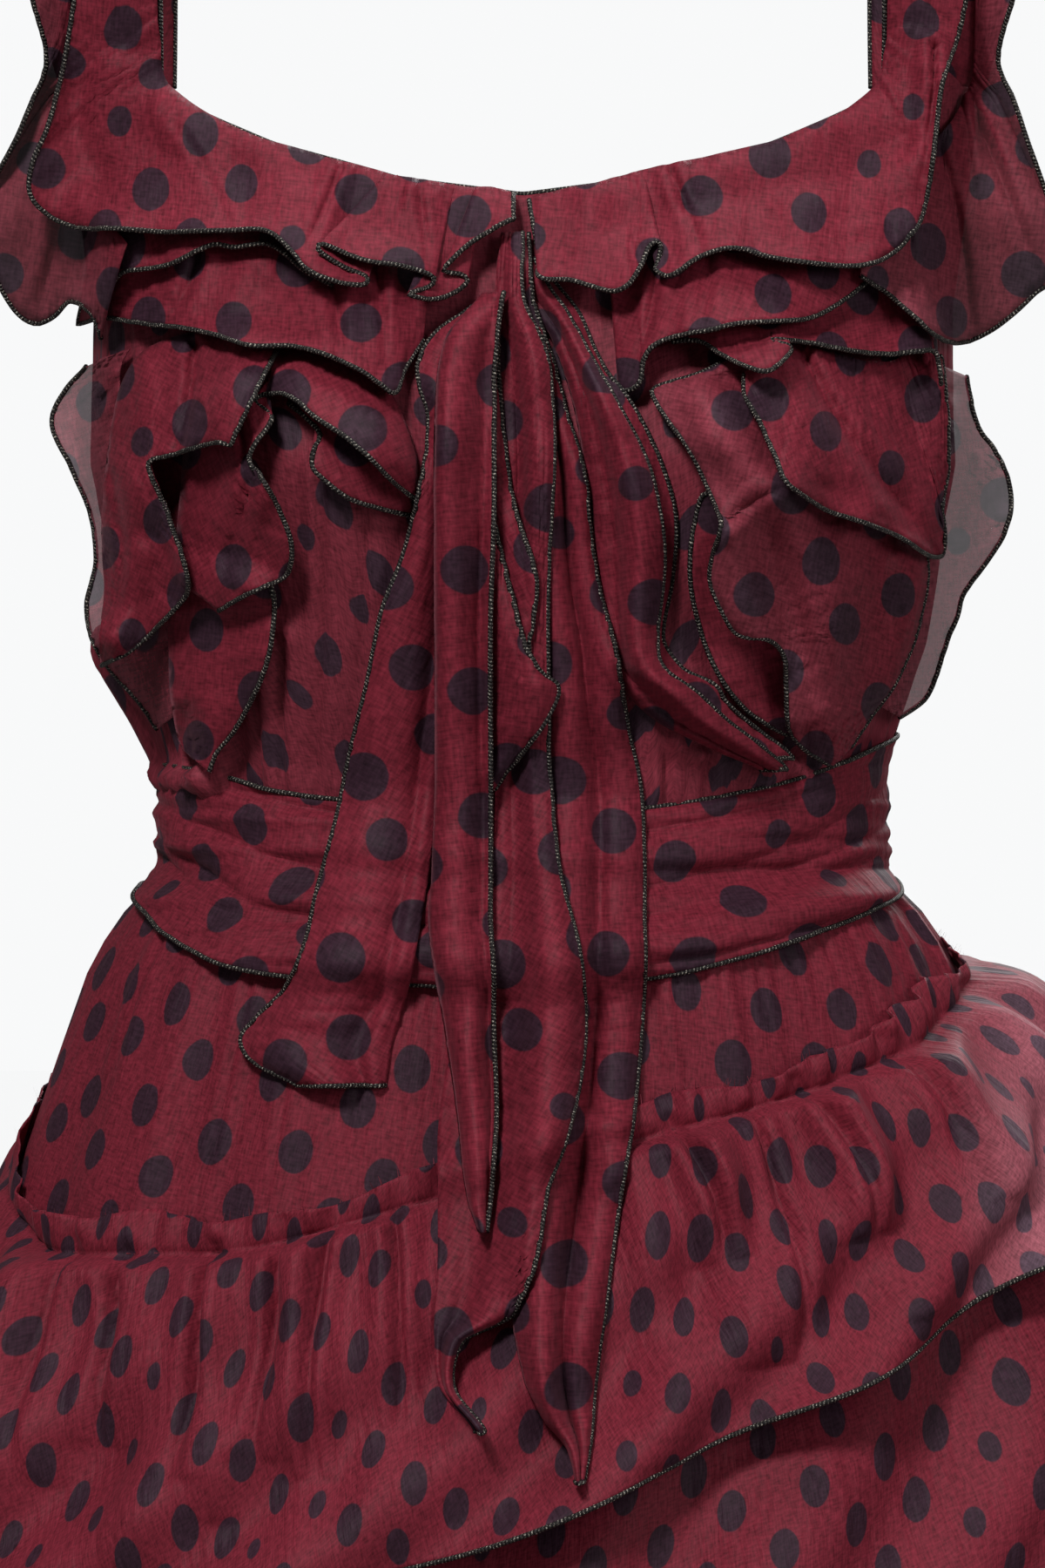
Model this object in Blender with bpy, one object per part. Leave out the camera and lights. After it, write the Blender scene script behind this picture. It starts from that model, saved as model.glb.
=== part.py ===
"""A ruffled silk gown as it hangs on a general figure: hollow cloth walls, one object for each sewn piece.

Metres and +Z up in Blender; all sizes below are millimetres. The front faces -Y, and +X is the viewer's
right. "left" and "right" in a name are the viewer's. The origin is on the centre line, at shoulder height.
"""

import math
from collections import namedtuple

import bpy
import numpy as np
from mathutils.bvhtree import BVHTree

MM = 0.001
WALL = 1.2
SEAM_GAP = 0.4
SIDE_SEAM = 0.14
BACK_SEAM = 0.10

# The figure that the gown hangs on, as level sections: half width, depth to the front and to the back,
# and how square each is (2 is an ellipse).
Section = namedtuple("Section", "drop half_width front back square")
SECTIONS = [
    Section(90, 151, 66, 70, 3.0),
    Section(120, 150, 74, 82, 3.0),
    Section(180, 141, 88, 92, 2.6),
    Section(230, 141, 100, 92, 2.4),
    Section(290, 130, 98, 88, 2.2),
    Section(310, 124, 96, 84, 2.1),
    Section(330, 117, 90, 80, 2.1),
    Section(364, 116, 87, 79, 2.1),
    Section(376, 128, 94, 88, 2.1),
    Section(394, 140, 99, 96, 2.1),
    Section(423, 150, 105, 106, 2.1),
    Section(472, 167, 112, 119, 2.1),
    Section(560, 190, 128, 139, 2.1),
    Section(800, 234, 172, 184, 2.0),
    Section(1100, 272, 218, 232, 2.0),
    Section(1380, 300, 250, 266, 2.0),
]
BUST_ACROSS = 72
BUST_DROP = 232
BUST_WIDTH = 38
BUST_HEIGHT = 46
BUST_RISE = 22

# The chart in which cloth lies on cloth. Below the chest line its height is the distance forwards or back;
# above it, the distance from a level axis under the shoulders, so it runs over them without a break.
AXIS_DROP = 110
TURN_RADIUS = 80
BACK_START = AXIS_DROP - math.pi * TURN_RADIUS
CELL = 1.5
DRAPE_CELLS = 3
LIFT_CELLS = 9
LAYING_STEPS = 16
SETTLE_STEP = 0.2
SETTLE_GAP = 0.25
SETTLE_STEPS = 20
ACROSS_REACH = 231
RUN_LOW = -330
RUN_HIGH = 620

# Neck, strap and armhole edge of the bodice, by angle round the figure from the front's middle.
Edge = namedtuple("Edge", "angle drop")
BODICE_TOP = [
    Edge(0, 145),
    Edge(15, 140),
    Edge(30, 128),
    Edge(42, 113),
    Edge(48, 98),
    Edge(66, 98),
    Edge(72, 124),
    Edge(78, 155),
    Edge(90, 186),
    Edge(102, 160),
    Edge(108, 128),
    Edge(114, 98),
    Edge(132, 98),
    Edge(138, 118),
    Edge(150, 134),
    Edge(165, 146),
    Edge(180, 151),
]
BLOUSE_DROP = 290
BODICE_END = 349.8
SKIRT_START = 350.2
SKIRT_END = 1374
GATHER_RISE = 1.6

STRAP_INNER = 118
STRAP_OUTER = 149
STRAP_SLOPE = 8

SASH_TOP = [
    Edge(-180, 325),
    Edge(-90, 328),
    Edge(-55, 332),
    Edge(-37, 340),
    Edge(0, 345),
    Edge(18, 345),
    Edge(43, 337),
    Edge(70, 323),
    Edge(90, 319),
    Edge(180, 325),
]
SASH_END = [
    Edge(-180, 372),
    Edge(-90, 369),
    Edge(-70, 375),
    Edge(-50, 388),
    Edge(-37, 397),
    Edge(0, 402),
    Edge(18, 398),
    Edge(43, 384),
    Edge(60, 376),
    Edge(90, 367),
    Edge(180, 372),
]
SASH_FOLDS = 4
SASH_FOLD_RISE = 3.2

# The first tier's seam and hem run down across the front, from the viewer's right to the left.
TIER_SEAM = [
    Edge(-180, 412),
    Edge(-135, 428),
    Edge(-90, 456),
    Edge(-60, 489),
    Edge(-30, 487),
    Edge(-10, 469),
    Edge(17, 447),
    Edge(43, 429),
    Edge(64, 413),
    Edge(90, 392),
    Edge(135, 396),
    Edge(180, 412),
]
TIER_HEM = [
    Edge(-180, 515),
    Edge(-135, 560),
    Edge(-90, 592),
    Edge(-50, 604),
    Edge(-6, 582),
    Edge(8, 560),
    Edge(16, 545),
    Edge(32, 524),
    Edge(46, 500),
    Edge(56, 482),
    Edge(75, 468),
    Edge(90, 464),
    Edge(135, 480),
    Edge(180, 515),
]
# How much further the tiers stand out at one angle than at another: most at the viewer's right hip.
Flare = namedtuple("Flare", "angle more")
TIER_FLARE = [
    Flare(-180, 1.1),
    Flare(-90, 0.9),
    Flare(0, 0.85),
    Flare(45, 1.1),
    Flare(80, 1.7),
    Flare(100, 1.7),
    Flare(135, 1.3),
    Flare(180, 1.1),
]
TIER_HEADER = 11
HEADER_LIFT = 1.5
TIER_WAVES = 14
COLUMNS_A_WAVE = 4
Tier = namedtuple("Tier", "name hem slant flare wave seam_gap")
FIRST_TIER = Tier("tier_1", 530, 1.0, 26, 7, 1.7)
LOWER_TIERS = [
    Tier("tier_2", 640, 0.9, 30, 8, 1.1),
    Tier("tier_3", 795, 0.6, 34, 9, 1.2),
    Tier("tier_4", 1010, 0.3, 38, 11, 1.2),
    Tier("tier_5", 1380, 0.0, 34, 13, 1.5),
]
TIER_LAP = 42

# Ribs of a flounce, from its sewn edge to its hem. Across is +X; run is the drop on the front, and counts
# on down over the shoulder; stand is how far the hem lifts off what it lies on.
Rib = namedtuple("Rib", "top_across top_run hem_across hem_run stand")
SIDE_RUFFLE_RIGHT = [
    Rib(132, 198, 148, 202, 4),
    Rib(133, 208, 150, 218, 8),
    Rib(134, 220, 158, 227, 11),
    Rib(134, 234, 159, 242, 11),
    Rib(130, 250, 154, 256, 8),
    Rib(126, 264, 150, 268, 9),
    Rib(120, 278, 144, 280, 6),
    Rib(116, 292, 140, 293, 4),
]
SIDE_RUFFLE_LEFT = [
    Rib(-131, 196, -147, 201, 4),
    Rib(-133, 206, -155, 216, 9),
    Rib(-131, 222, -149, 230, 11),
    Rib(-129, 238, -143, 244, 7),
    Rib(-125, 253, -141, 262, 8),
    Rib(-121, 268, -142, 280, 9),
    Rib(-117, 283, -134, 296, 7),
    Rib(-113, 297, -126, 308, 5),
    Rib(-110, 309, -122, 318, 3),
]
BUST_UNDER_RIGHT = [
    Rib(60, 240, 51, 246, 3),
    Rib(63, 256, 53, 262, 5),
    Rib(65, 272, 52, 278, 6),
    Rib(69, 288, 54, 293, 6),
    Rib(77, 302, 60, 308, 5),
    Rib(87, 313, 70, 320, 4),
    Rib(97, 320, 86, 329, 3),
]
BUST_INNER_RIGHT = [
    Rib(66, 199, 59, 205, 4),
    Rib(63, 206, 43, 211, 8),
    Rib(69, 216, 50, 226, 10),
    Rib(76, 228, 58, 240, 11),
    Rib(82, 240, 64, 252, 12),
    Rib(84, 253, 62, 264, 9),
    Rib(86, 265, 61, 276, 10),
    Rib(90, 277, 66, 288, 10),
    Rib(96, 287, 75, 300, 8),
    Rib(101, 297, 84, 308, 8),
    Rib(104, 308, 84, 320, 6),
    Rib(107, 317, 92, 331, 3),
]
BUST_OUTER_RIGHT = [
    Rib(82, 199, 71, 204, 4),
    Rib(86, 203, 71, 213, 7),
    Rib(90, 206, 75, 225, 9),
    Rib(94, 208, 82, 244, 12),
    Rib(100, 208, 98, 250, 11),
    Rib(107, 207, 114, 256, 12),
    Rib(114, 205, 131, 262, 13),
    Rib(119, 202, 137, 264, 11),
    Rib(122, 198, 138, 248, 11),
    Rib(125, 194, 139, 230, 10),
    Rib(127, 189, 138, 212, 8),
    Rib(128, 184, 137, 198, 6),
]
LOW_FLOUNCE_RIGHT = [
    Rib(50, 172, 47, 201, 6),
    Rib(58, 171, 59, 194, 8),
    Rib(68, 170, 71, 193, 9),
    Rib(80, 168, 86, 194, 10),
    Rib(95, 166, 103, 196, 11),
    Rib(109, 165, 118, 196, 11),
    Rib(121, 166, 129, 195, 11),
    Rib(130, 170, 138, 197, 8),
]
SECOND_FLOUNCE_RIGHT = [
    Rib(28, 168, 30, 210, 5),
    Rib(33, 167, 36, 207, 9),
    Rib(38, 164, 40, 201, 12),
    Rib(45, 160, 44, 197, 13),
    Rib(55, 156, 51, 194, 13),
    Rib(67, 152, 62, 191, 12),
    Rib(80, 149, 74, 189, 11),
    Rib(92, 147, 87, 187, 9),
    Rib(102, 146, 97, 185, 6),
]
BUST_LOWER_LEFT = [
    Rib(-101, 267, -81, 275, 6),
    Rib(-106, 280, -80, 286, 9),
    Rib(-109, 292, -82, 297, 10),
    Rib(-111, 304, -88, 308, 9),
    Rib(-111, 314, -94, 318, 7),
    Rib(-109, 323, -100, 330, 4),
]
BUST_OUTER_LEFT = [
    Rib(-72, 197, -93, 227, 8),
    Rib(-89, 193, -106, 227, 11),
    Rib(-106, 194, -120, 231, 14),
    Rib(-121, 200, -117, 242, 13),
    Rib(-130, 212, -112, 255, 11),
    Rib(-134, 226, -108, 268, 10),
    Rib(-136, 240, -111, 278, 9),
    Rib(-137, 252, -122, 290, 11),
    Rib(-136, 262, -132, 296, 12),
    Rib(-134, 270, -138, 295, 7),
]
BUST_INNER_LEFT = [
    Rib(-34, 236, -35, 251, 5),
    Rib(-38, 226, -46, 249, 9),
    Rib(-44, 216, -57, 244, 12),
    Rib(-50, 209, -65, 237, 14),
    Rib(-56, 205, -68, 229, 12),
    Rib(-63, 202, -73, 223, 9),
    Rib(-72, 200, -80, 220, 7),
    Rib(-83, 203, -87, 229, 9),
    Rib(-95, 212, -84, 240, 12),
    Rib(-103, 224, -77, 251, 13),
    Rib(-107, 238, -73, 260, 13),
    Rib(-108, 252, -76, 269, 10),
    Rib(-109, 264, -87, 276, 8),
    Rib(-111, 273, -98, 282, 5),
]
SECOND_FLOUNCE_LEFT = [
    Rib(-140, 152, -151, 187, 5),
    Rib(-134, 153, -144, 184, 9),
    Rib(-120, 155, -130, 185, 11),
    Rib(-105, 158, -115, 186, 12),
    Rib(-90, 160, -93, 193, 12),
    Rib(-76, 162, -73, 195, 12),
    Rib(-62, 164, -56, 203, 13),
    Rib(-50, 166, -41, 210, 11),
    Rib(-42, 168, -37, 206, 6),
    Rib(-34, 170, -31, 199, 3),
]
UNDER_FLOUNCE_LEFT = [
    Rib(-132, 140, -136, 177, 4),
    Rib(-126, 138, -130, 171, 7),
    Rib(-118, 137, -121, 169, 8),
    Rib(-108, 137, -111, 168, 8),
    Rib(-98, 138, -102, 163, 8),
    Rib(-88, 140, -92, 163, 7),
    Rib(-78, 142, -81, 161, 6),
    Rib(-70, 144, -71, 170, 4),
]
CAP_FRONT_LEFT = [
    Rib(-131, 158, -138, 189, 5),
    Rib(-138, 147, -150, 183, 9),
    Rib(-144, 134, -160, 184, 7),
    Rib(-147, 119, -172, 172, 11),
    Rib(-148, 103, -180, 150, 7),
]
CAP_FRONT_RIGHT = [
    Rib(113, 132, 111, 169, 4),
    Rib(121, 131, 123, 177, 7),
    Rib(129, 128, 131, 191, 11),
    Rib(136, 123, 143, 192, 8),
    Rib(142, 116, 156, 187, 12),
    Rib(146, 107, 171, 173, 8),
    Rib(148, 96, 184, 152, 12),
]
CAP_HEM_ACROSS = 170
CAP_STEPS = 9
NECK_FRONT_LEFT = [
    Rib(-4, 145, -5, 152, 6),
    Rib(-9, 144, -12, 161, 10),
    Rib(-16, 143, -22, 171, 11),
    Rib(-24, 141, -27, 174, 8),
    Rib(-34, 139, -36, 172, 12),
    Rib(-45, 137, -50, 170, 12),
    Rib(-56, 135, -64, 167, 11),
    Rib(-66, 132, -74, 163, 10),
    Rib(-79, 128, -86, 158, 11),
    Rib(-94, 122, -110, 158, 11),
    Rib(-107, 116, -134, 158, 12),
    Rib(-115, 110, -153, 152, 13),
    Rib(-118, 98, -160, 134, 15),
    Rib(-119, 80, -156, 108, 19),
]
NECK_FRONT_RIGHT = [
    Rib(4, 145, 5, 171, 11),
    Rib(14, 143, 18, 175, 13),
    Rib(24, 141, 29, 178, 13),
    Rib(33, 139, 38, 174, 11),
    Rib(40, 138, 46, 165, 9),
    Rib(50, 136, 55, 167, 8),
    Rib(62, 133, 70, 164, 12),
    Rib(80, 128, 89, 167, 12),
    Rib(96, 121, 108, 168, 13),
    Rib(108, 115, 124, 160, 14),
    Rib(115, 109, 132, 144, 16),
    Rib(118, 97, 136, 122, 19),
    Rib(119, 80, 140, 98, 20),
]
NECK_HEM_ACROSS = 143
NECK_WIDTH = 48
OVER_STEPS = 8
BACK_STEPS = 11

# Rows of a hanging fall, from its sewn top to its tip.
Row = namedtuple("Row", "drop left right stand")
FALL_RIGHT_SHORT = [
    Row(166, -2, 4, 0),
    Row(181, -1, 9, 2),
    Row(191, 4, 18, 4),
    Row(205, 10, 25, 5),
    Row(227, 18, 37, 6),
    Row(245, 20, 42, 7),
    Row(269, 22, 45, 7),
    Row(290, 24, 44, 7),
    Row(304, 27, 44, 7),
    Row(312, 36, 52, 6),
    Row(322, 52, 70, 5),
    Row(331, 74, 85, 4),
]
FALL_RIGHT_LONG = [
    Row(158, -5, 2, 0),
    Row(180, -6, 3, 2),
    Row(201, 0, 10, 4),
    Row(220, 3, 15, 5),
    Row(237, 4, 20, 6),
    Row(258, 4, 22, 6),
    Row(292, 4, 30, 6),
    Row(319, 4, 34, 6),
    Row(337, 4, 38, 5),
    Row(378, 2, 39, 5),
    Row(400, 1, 39, 6),
    Row(438, 0, 36, 8),
    Row(468, -1, 31, 9),
    Row(504, -3, 26, 9),
    Row(525, 1, 23, 8),
    Row(544, 13, 21, 6),
    Row(554, 16, 19, 5),
]
FALL_CENTRE = [
    Row(158, -7, 0, 0),
    Row(185, -8, 1, 2),
    Row(207, -6, 9, 4),
    Row(228, -6, 10, 5),
    Row(252, -6, 9, 5),
    Row(301, -9, 8, 5),
    Row(336, -9, 9, 4),
    Row(365, -10, 12, 4),
    Row(389, -14, 18, 5),
    Row(413, -20, 20, 6),
    Row(432, -24, 18, 6),
    Row(464, -27, 9, 7),
    Row(488, -27, 4, 7),
    Row(505, -28, -4, 7),
    Row(522, -28, -11, 6),
    Row(540, -17, -12, 5),
]
FALL_CURL = [
    Row(186, -13, -9, 0),
    Row(220, -12, -7, 2),
    Row(243, -12, -3, 3),
    Row(265, -12, 2, 4),
    Row(290, -12, 4, 5),
    Row(304, -12, 9, 5),
    Row(311, -12, 11, 5),
    Row(320, -12, 6, 4),
    Row(329, -12, -2, 3),
    Row(337, -13, -8, 2),
]
FALL_LEFT = [
    Row(182, -16, -9, 0),
    Row(190, -27, -11, 4),
    Row(199, -33, -13, 5),
    Row(208, -33, -14, 6),
    Row(222, -29, -15, 6),
    Row(246, -34, -16, 7),
    Row(262, -38, -18, 7),
    Row(280, -45, -20, 7),
    Row(328, -56, -26, 7),
    Row(347, -60, -28, 6),
    Row(370, -66, -31, 6),
    Row(403, -77, -36, 8),
    Row(417, -90, -40, 8),
    Row(425, -86, -42, 8),
    Row(434, -72, -46, 7),
]
FALL_LEAF = [
    Row(178, -13, -6, 0),
    Row(192, -22, -8, 4),
    Row(204, -25, -9, 6),
    Row(225, -28, -9, 7),
    Row(252, -28, -9, 7),
    Row(283, -28, -10, 7),
    Row(336, -28, -10, 6),
    Row(367, -29, -10, 6),
    Row(380, -30, -10, 6),
    Row(413, -25, -9, 7),
    Row(440, -21, -8, 7),
    Row(458, -19, -9, 6),
    Row(477, -15, -11, 5),
]

CLOTH_RED = (0.150, 0.027, 0.041)
UNDER_RED = (0.105, 0.020, 0.030)


def column(table, name):
    return np.array([getattr(row, name) for row in table], dtype=float)


def read_table(table, key, name, at):
    """A column read off between the rows, along straight lines."""
    return np.interp(at, column(table, key), column(table, name))


def silk(name, colour):
    material = bpy.data.materials.new(name)
    material.use_nodes = True
    shader = material.node_tree.nodes["Principled BSDF"]
    shader.inputs["Base Color"].default_value = (*colour, 1.0)
    shader.inputs["Roughness"].default_value = 0.55
    shader.inputs["Sheen Weight"].default_value = 0.3
    return material


def figure_point(angle, drop, offset):
    """Points round the figure, moved out by offset: arrays of degrees, drops and offsets of one shape."""
    half_width = read_table(SECTIONS, "drop", "half_width", drop)
    front = read_table(SECTIONS, "drop", "front", drop)
    back = read_table(SECTIONS, "drop", "back", drop)
    square = read_table(SECTIONS, "drop", "square", drop)
    sine = np.sin(np.radians(angle))
    cosine = np.cos(np.radians(angle))
    scale = (np.abs(sine) ** square + np.abs(cosine) ** square) ** (-1 / square)
    depth = np.where(cosine > 0, front, back)
    x = half_width * sine * scale
    y = -depth * cosine * scale
    from_bust = ((np.abs(x) - BUST_ACROSS) / BUST_WIDTH) ** 2 + ((drop - BUST_DROP) / BUST_HEIGHT) ** 2
    y = y - np.where(cosine > 0, BUST_RISE * np.exp(-from_bust), 0.0)
    normal_x = sine / half_width
    normal_y = -cosine / depth
    length = np.hypot(normal_x, normal_y)
    x = x + offset * normal_x / length
    y = y + offset * normal_y / length
    return np.stack([x, y, -drop + 0 * x], axis=-1)


def chart_to_space(chart):
    """From (across, run, height) to (x, y, z)."""
    across, run, height = np.moveaxis(chart, -1, 0)
    turn = np.clip((AXIS_DROP - run) / TURN_RADIUS, 0, math.pi)
    below = np.maximum(run - AXIS_DROP, 0) + np.maximum(BACK_START - run, 0)
    y = -height * np.cos(turn)
    z = height * np.sin(turn) - AXIS_DROP - below
    return np.stack([across, y, z], axis=-1)


def space_to_chart(points):
    """From (x, y, z) to (across, run, height)."""
    x, y, z = np.moveaxis(points, -1, 0)
    rise = z + AXIS_DROP
    turn = np.arctan2(np.maximum(rise, 0), -y)
    over = AXIS_DROP - TURN_RADIUS * turn
    run = np.where(rise > 0, over, np.where(y <= 0, -z, BACK_START + z + AXIS_DROP))
    height = np.where(rise > 0, np.hypot(y, rise), np.abs(y))
    return np.stack([x, run, height], axis=-1)


def figure_height(across, run):
    """The chart's height of the bare figure, shoulders and upper arms roughly, for cloth with none under it."""
    drop = np.where(run >= AXIS_DROP, run, np.where(run <= BACK_START, BACK_START + AXIS_DROP - run, AXIS_DROP))
    half_width = read_table(SECTIONS, "drop", "half_width", drop)
    front = read_table(SECTIONS, "drop", "front", drop)
    square = read_table(SECTIONS, "drop", "square", drop)
    share = np.clip(np.abs(across) / half_width, 0, 1)
    chest = front * (1 - share**square) ** (1 / square) - 4
    arm = 34 - 0.5 * np.maximum(np.abs(across) - 165, 0) - 0.6 * np.maximum(drop - 150, 0)
    level = np.maximum(chest, np.where(np.abs(across) > 125, np.maximum(arm, 2), 2))
    top = AXIS_DROP - 0.26 * np.maximum(np.abs(across) - STRAP_INNER, 0)
    top = top - 1.0 * np.maximum(np.abs(across) - 168, 0) - 3
    turn = np.clip((AXIS_DROP - run) / TURN_RADIUS, 0, math.pi)
    return np.hypot(level * np.cos(turn), top * np.sin(turn))


def spread(grid, cells):
    """Each cell gets the highest value within so many cells."""
    for axis in (0, 1):
        best = grid.copy()
        for step in range(1, cells + 1):
            best = np.maximum(best, shifted(grid, step, axis))
            best = np.maximum(best, shifted(grid, -step, axis))
        grid = best
    return grid


def softened(grid, cells):
    """Each cell gets the mean of those within so many cells."""
    for axis in (0, 1):
        total = grid.copy()
        for step in range(1, cells + 1):
            total = total + shifted(grid, step, axis) + shifted(grid, -step, axis)
        grid = total / (2 * cells + 1)
    return grid


def shifted(grid, step, axis):
    width = [(0, 0), (0, 0)]
    width[axis] = (max(step, 0), max(-step, 0))
    padded = np.pad(grid, width, mode="edge")
    if axis == 0:
        return padded[max(-step, 0) : padded.shape[0] - max(step, 0), :]
    return padded[:, max(-step, 0) : padded.shape[1] - max(step, 0)]


class Relief:
    """How high the cloth made so far stands, on a grid of the chart."""

    def __init__(self):
        self.acrosses = np.arange(-ACROSS_REACH, ACROSS_REACH + CELL, CELL)
        self.runs = np.arange(RUN_LOW, RUN_HIGH + CELL, CELL)
        self.bare = figure_height(self.acrosses[:, None], self.runs[None, :])
        self.height = self.bare.copy()
        self.trees = []

    def cells(self, chart):
        i = np.rint((chart[..., 0] + ACROSS_REACH) / CELL).astype(int)
        j = np.rint((chart[..., 1] - RUN_LOW) / CELL).astype(int)
        inside = (i >= 0) & (i < len(self.acrosses)) & (j >= 0) & (j < len(self.runs))
        return np.clip(i, 0, len(self.acrosses) - 1), np.clip(j, 0, len(self.runs) - 1), inside

    def add(self, outer, closed=False):
        """Raise the relief to a piece's outer face, given in space."""
        fine = space_to_chart(fine_points(outer, closed))
        i, j, inside = self.cells(fine)
        np.maximum.at(self.height, (i[inside], j[inside]), fine[..., 2][inside])
        self.trees.append(tree_of([outer], closed))

    def read(self, grid, chart):
        i, j, _ = self.cells(chart)
        return grid[i, j]


def fine_points(points, closed=False):
    """Points all over a grid's triangles, about a cell apart."""
    if closed:
        points = np.concatenate([points, points[:, :1]], axis=1)
    a, b = points[:-1, :-1], points[:-1, 1:]
    c, d = points[1:, 1:], points[1:, :-1]
    sides = np.concatenate([(b - a).reshape(-1, 3), (d - a).reshape(-1, 3), (c - a).reshape(-1, 3)])
    steps = int(np.ceil(np.linalg.norm(sides, axis=1).max() / CELL)) + 1
    u, v = np.meshgrid(np.linspace(0, 1, steps), np.linspace(0, 1, steps), indexing="ij")
    keep = (u + v) <= 1.0001
    u, v = u[keep][:, None, None, None], v[keep][:, None, None, None]
    first = a * (1 - u - v) + b * u + c * v
    second = a * (1 - u - v) + c * u + d * v
    return np.concatenate([first, second]).reshape(-1, 3)


def wall(name, inner, outer, material, closed=False):
    """One closed solid between two grids of points; closed joins the last column to the first."""
    rows, columns = inner.shape[:2]
    points = np.concatenate([inner.reshape(-1, 3), outer.reshape(-1, 3)]) * MM
    count = rows * columns
    faces = []
    last = columns if closed else columns - 1
    for row in range(rows - 1):
        for left in range(last):
            right = (left + 1) % columns
            a, b = row * columns + left, row * columns + right
            c, d = (row + 1) * columns + right, (row + 1) * columns + left
            faces += [(a, c, b), (a, d, c)]
            faces += [(count + a, count + b, count + c), (count + a, count + c, count + d)]
    for left in range(last):
        right = (left + 1) % columns
        faces += rim(left, right, count)
        low = (rows - 1) * columns
        faces += rim(low + right, low + left, count)
    if not closed:
        for row in range(rows - 1):
            faces += rim((row + 1) * columns, row * columns, count)
            faces += rim((row + 1) * columns - 1, (row + 2) * columns - 1, count)
    mesh = bpy.data.meshes.new(name)
    mesh.from_pydata([tuple(point) for point in points], [], faces)
    mesh.update()
    mesh.materials.append(material)
    mesh.shade_smooth()
    mesh.set_sharp_from_angle(angle=math.radians(50))
    piece = bpy.data.objects.new(name, mesh)
    bpy.context.collection.objects.link(piece)
    return piece


def rim(start, end, count):
    return [(start, end, count + end), (start, count + end, count + start)]


def turned_out(inner, outer):
    """Whether the outer grid's faces point from the inner grid to the outer one."""
    a, b, d = outer[:-1, :-1], outer[:-1, 1:], outer[1:, :-1]
    normal = np.cross(d - a, b - a)
    return (normal * (outer - inner)[:-1, :-1]).sum() < 0


def cloth(name, inner, outer, material, closed=False):
    """A wall whose faces point out, whichever way its columns run."""
    if turned_out(inner, outer):
        return wall(name, inner, outer, material, closed)
    return wall(name, inner[:, ::-1], outer[:, ::-1], material, closed)


def thickened(height, chart):
    """The wall's thickness along the chart's height, more where the cloth is steep."""
    down = np.gradient(height, axis=0) / np.maximum(spacing(chart, 0), 2.0)
    along = np.gradient(height, axis=1) / np.maximum(spacing(chart, 1), 2.0)
    return WALL * np.minimum(np.sqrt(1 + down**2 + along**2), 2.4)


def spacing(chart, axis):
    return np.hypot(np.gradient(chart[..., 0], axis=axis), np.gradient(chart[..., 1], axis=axis))


def laid(name, chart, relief, material):
    """Lay a sheet on the relief: chart's third value is how far each point stands off what is under it."""
    ground = softened(relief.height, DRAPE_CELLS)
    wide = spread(relief.height, 1)
    rise = np.zeros_like(ground)
    for _ in range(LAYING_STEPS):
        inner = chart.copy()
        inner[..., 2] += relief.read(ground + rise, chart)
        fine = space_to_chart(fine_points(chart_to_space(inner)))
        short = relief.read(wide, fine) + SEAM_GAP - fine[..., 2]
        if short.max() <= 0:
            break
        need = np.zeros_like(ground)
        i, j, inside = relief.cells(fine)
        np.maximum.at(need, (i[inside], j[inside]), np.maximum(short, 0)[inside])
        rise = rise + softened(spread(need, LIFT_CELLS), LIFT_CELLS // 2)
    inner[..., 2] += min(short.max(), 0)
    settle(inner, relief)
    outer = inner.copy()
    outer[..., 2] += thickened(inner[..., 2], chart)
    inner_points, outer_points = chart_to_space(inner), chart_to_space(outer)
    relief.add(outer_points)
    return cloth(name, inner_points, outer_points, material)


def settle(inner, relief):
    """Let a sheet down in small steps until the next one would touch what is under it."""
    for _ in range(SETTLE_STEPS):
        lower = inner.copy()
        lower[..., 2] -= SETTLE_STEP + SETTLE_GAP
        if touches(chart_to_space(lower), relief.trees):
            break
        inner[..., 2] -= SETTLE_STEP


def touches(points, trees):
    tree = tree_of([points])
    return any(tree.overlap(other) for other in trees)


def tree_of(grids, closed=False):
    corners, faces = [], []
    for grid in grids:
        rows, columns = grid.shape[:2]
        start = len(corners)
        corners += [tuple(point) for point in grid.reshape(-1, 3)]
        for row in range(rows - 1):
            for left in range(columns if closed else columns - 1):
                right = (left + 1) % columns
                a, b = start + row * columns + left, start + row * columns + right
                c, d = start + (row + 1) * columns + right, start + (row + 1) * columns + left
                faces += [(a, b, c), (a, c, d)]
    return BVHTree.FromPolygons(corners, faces)


def flounce(name, ribs, relief, material, rows=4):
    """A ruffle from ribs: flat where it is sewn on, lifting towards its hem."""
    fall = np.linspace(0, 1, rows)[:, None]
    across = column(ribs, "top_across") * (1 - fall) + column(ribs, "hem_across") * fall
    run = column(ribs, "top_run") * (1 - fall) + column(ribs, "hem_run") * fall
    stand = column(ribs, "stand") * fall**1.4
    return laid(name, np.stack([across, run, stand], axis=-1), relief, material)


def hanging(name, rows, relief, material, columns=5, pleats=1):
    """A fall from rows: pleated across, flat at its sewn top."""
    share = np.linspace(0, 1, columns)[None, :]
    left, right = column(rows, "left")[:, None], column(rows, "right")[:, None]
    across = left + (right - left) * share
    run = column(rows, "drop")[:, None] + 0 * share
    pleat = 0.35 + 0.65 * np.sin(math.pi * pleats * share) ** 2
    stand = column(rows, "stand")[:, None] * pleat
    return laid(name, np.stack([across, run, stand], axis=-1), relief, material)


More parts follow.
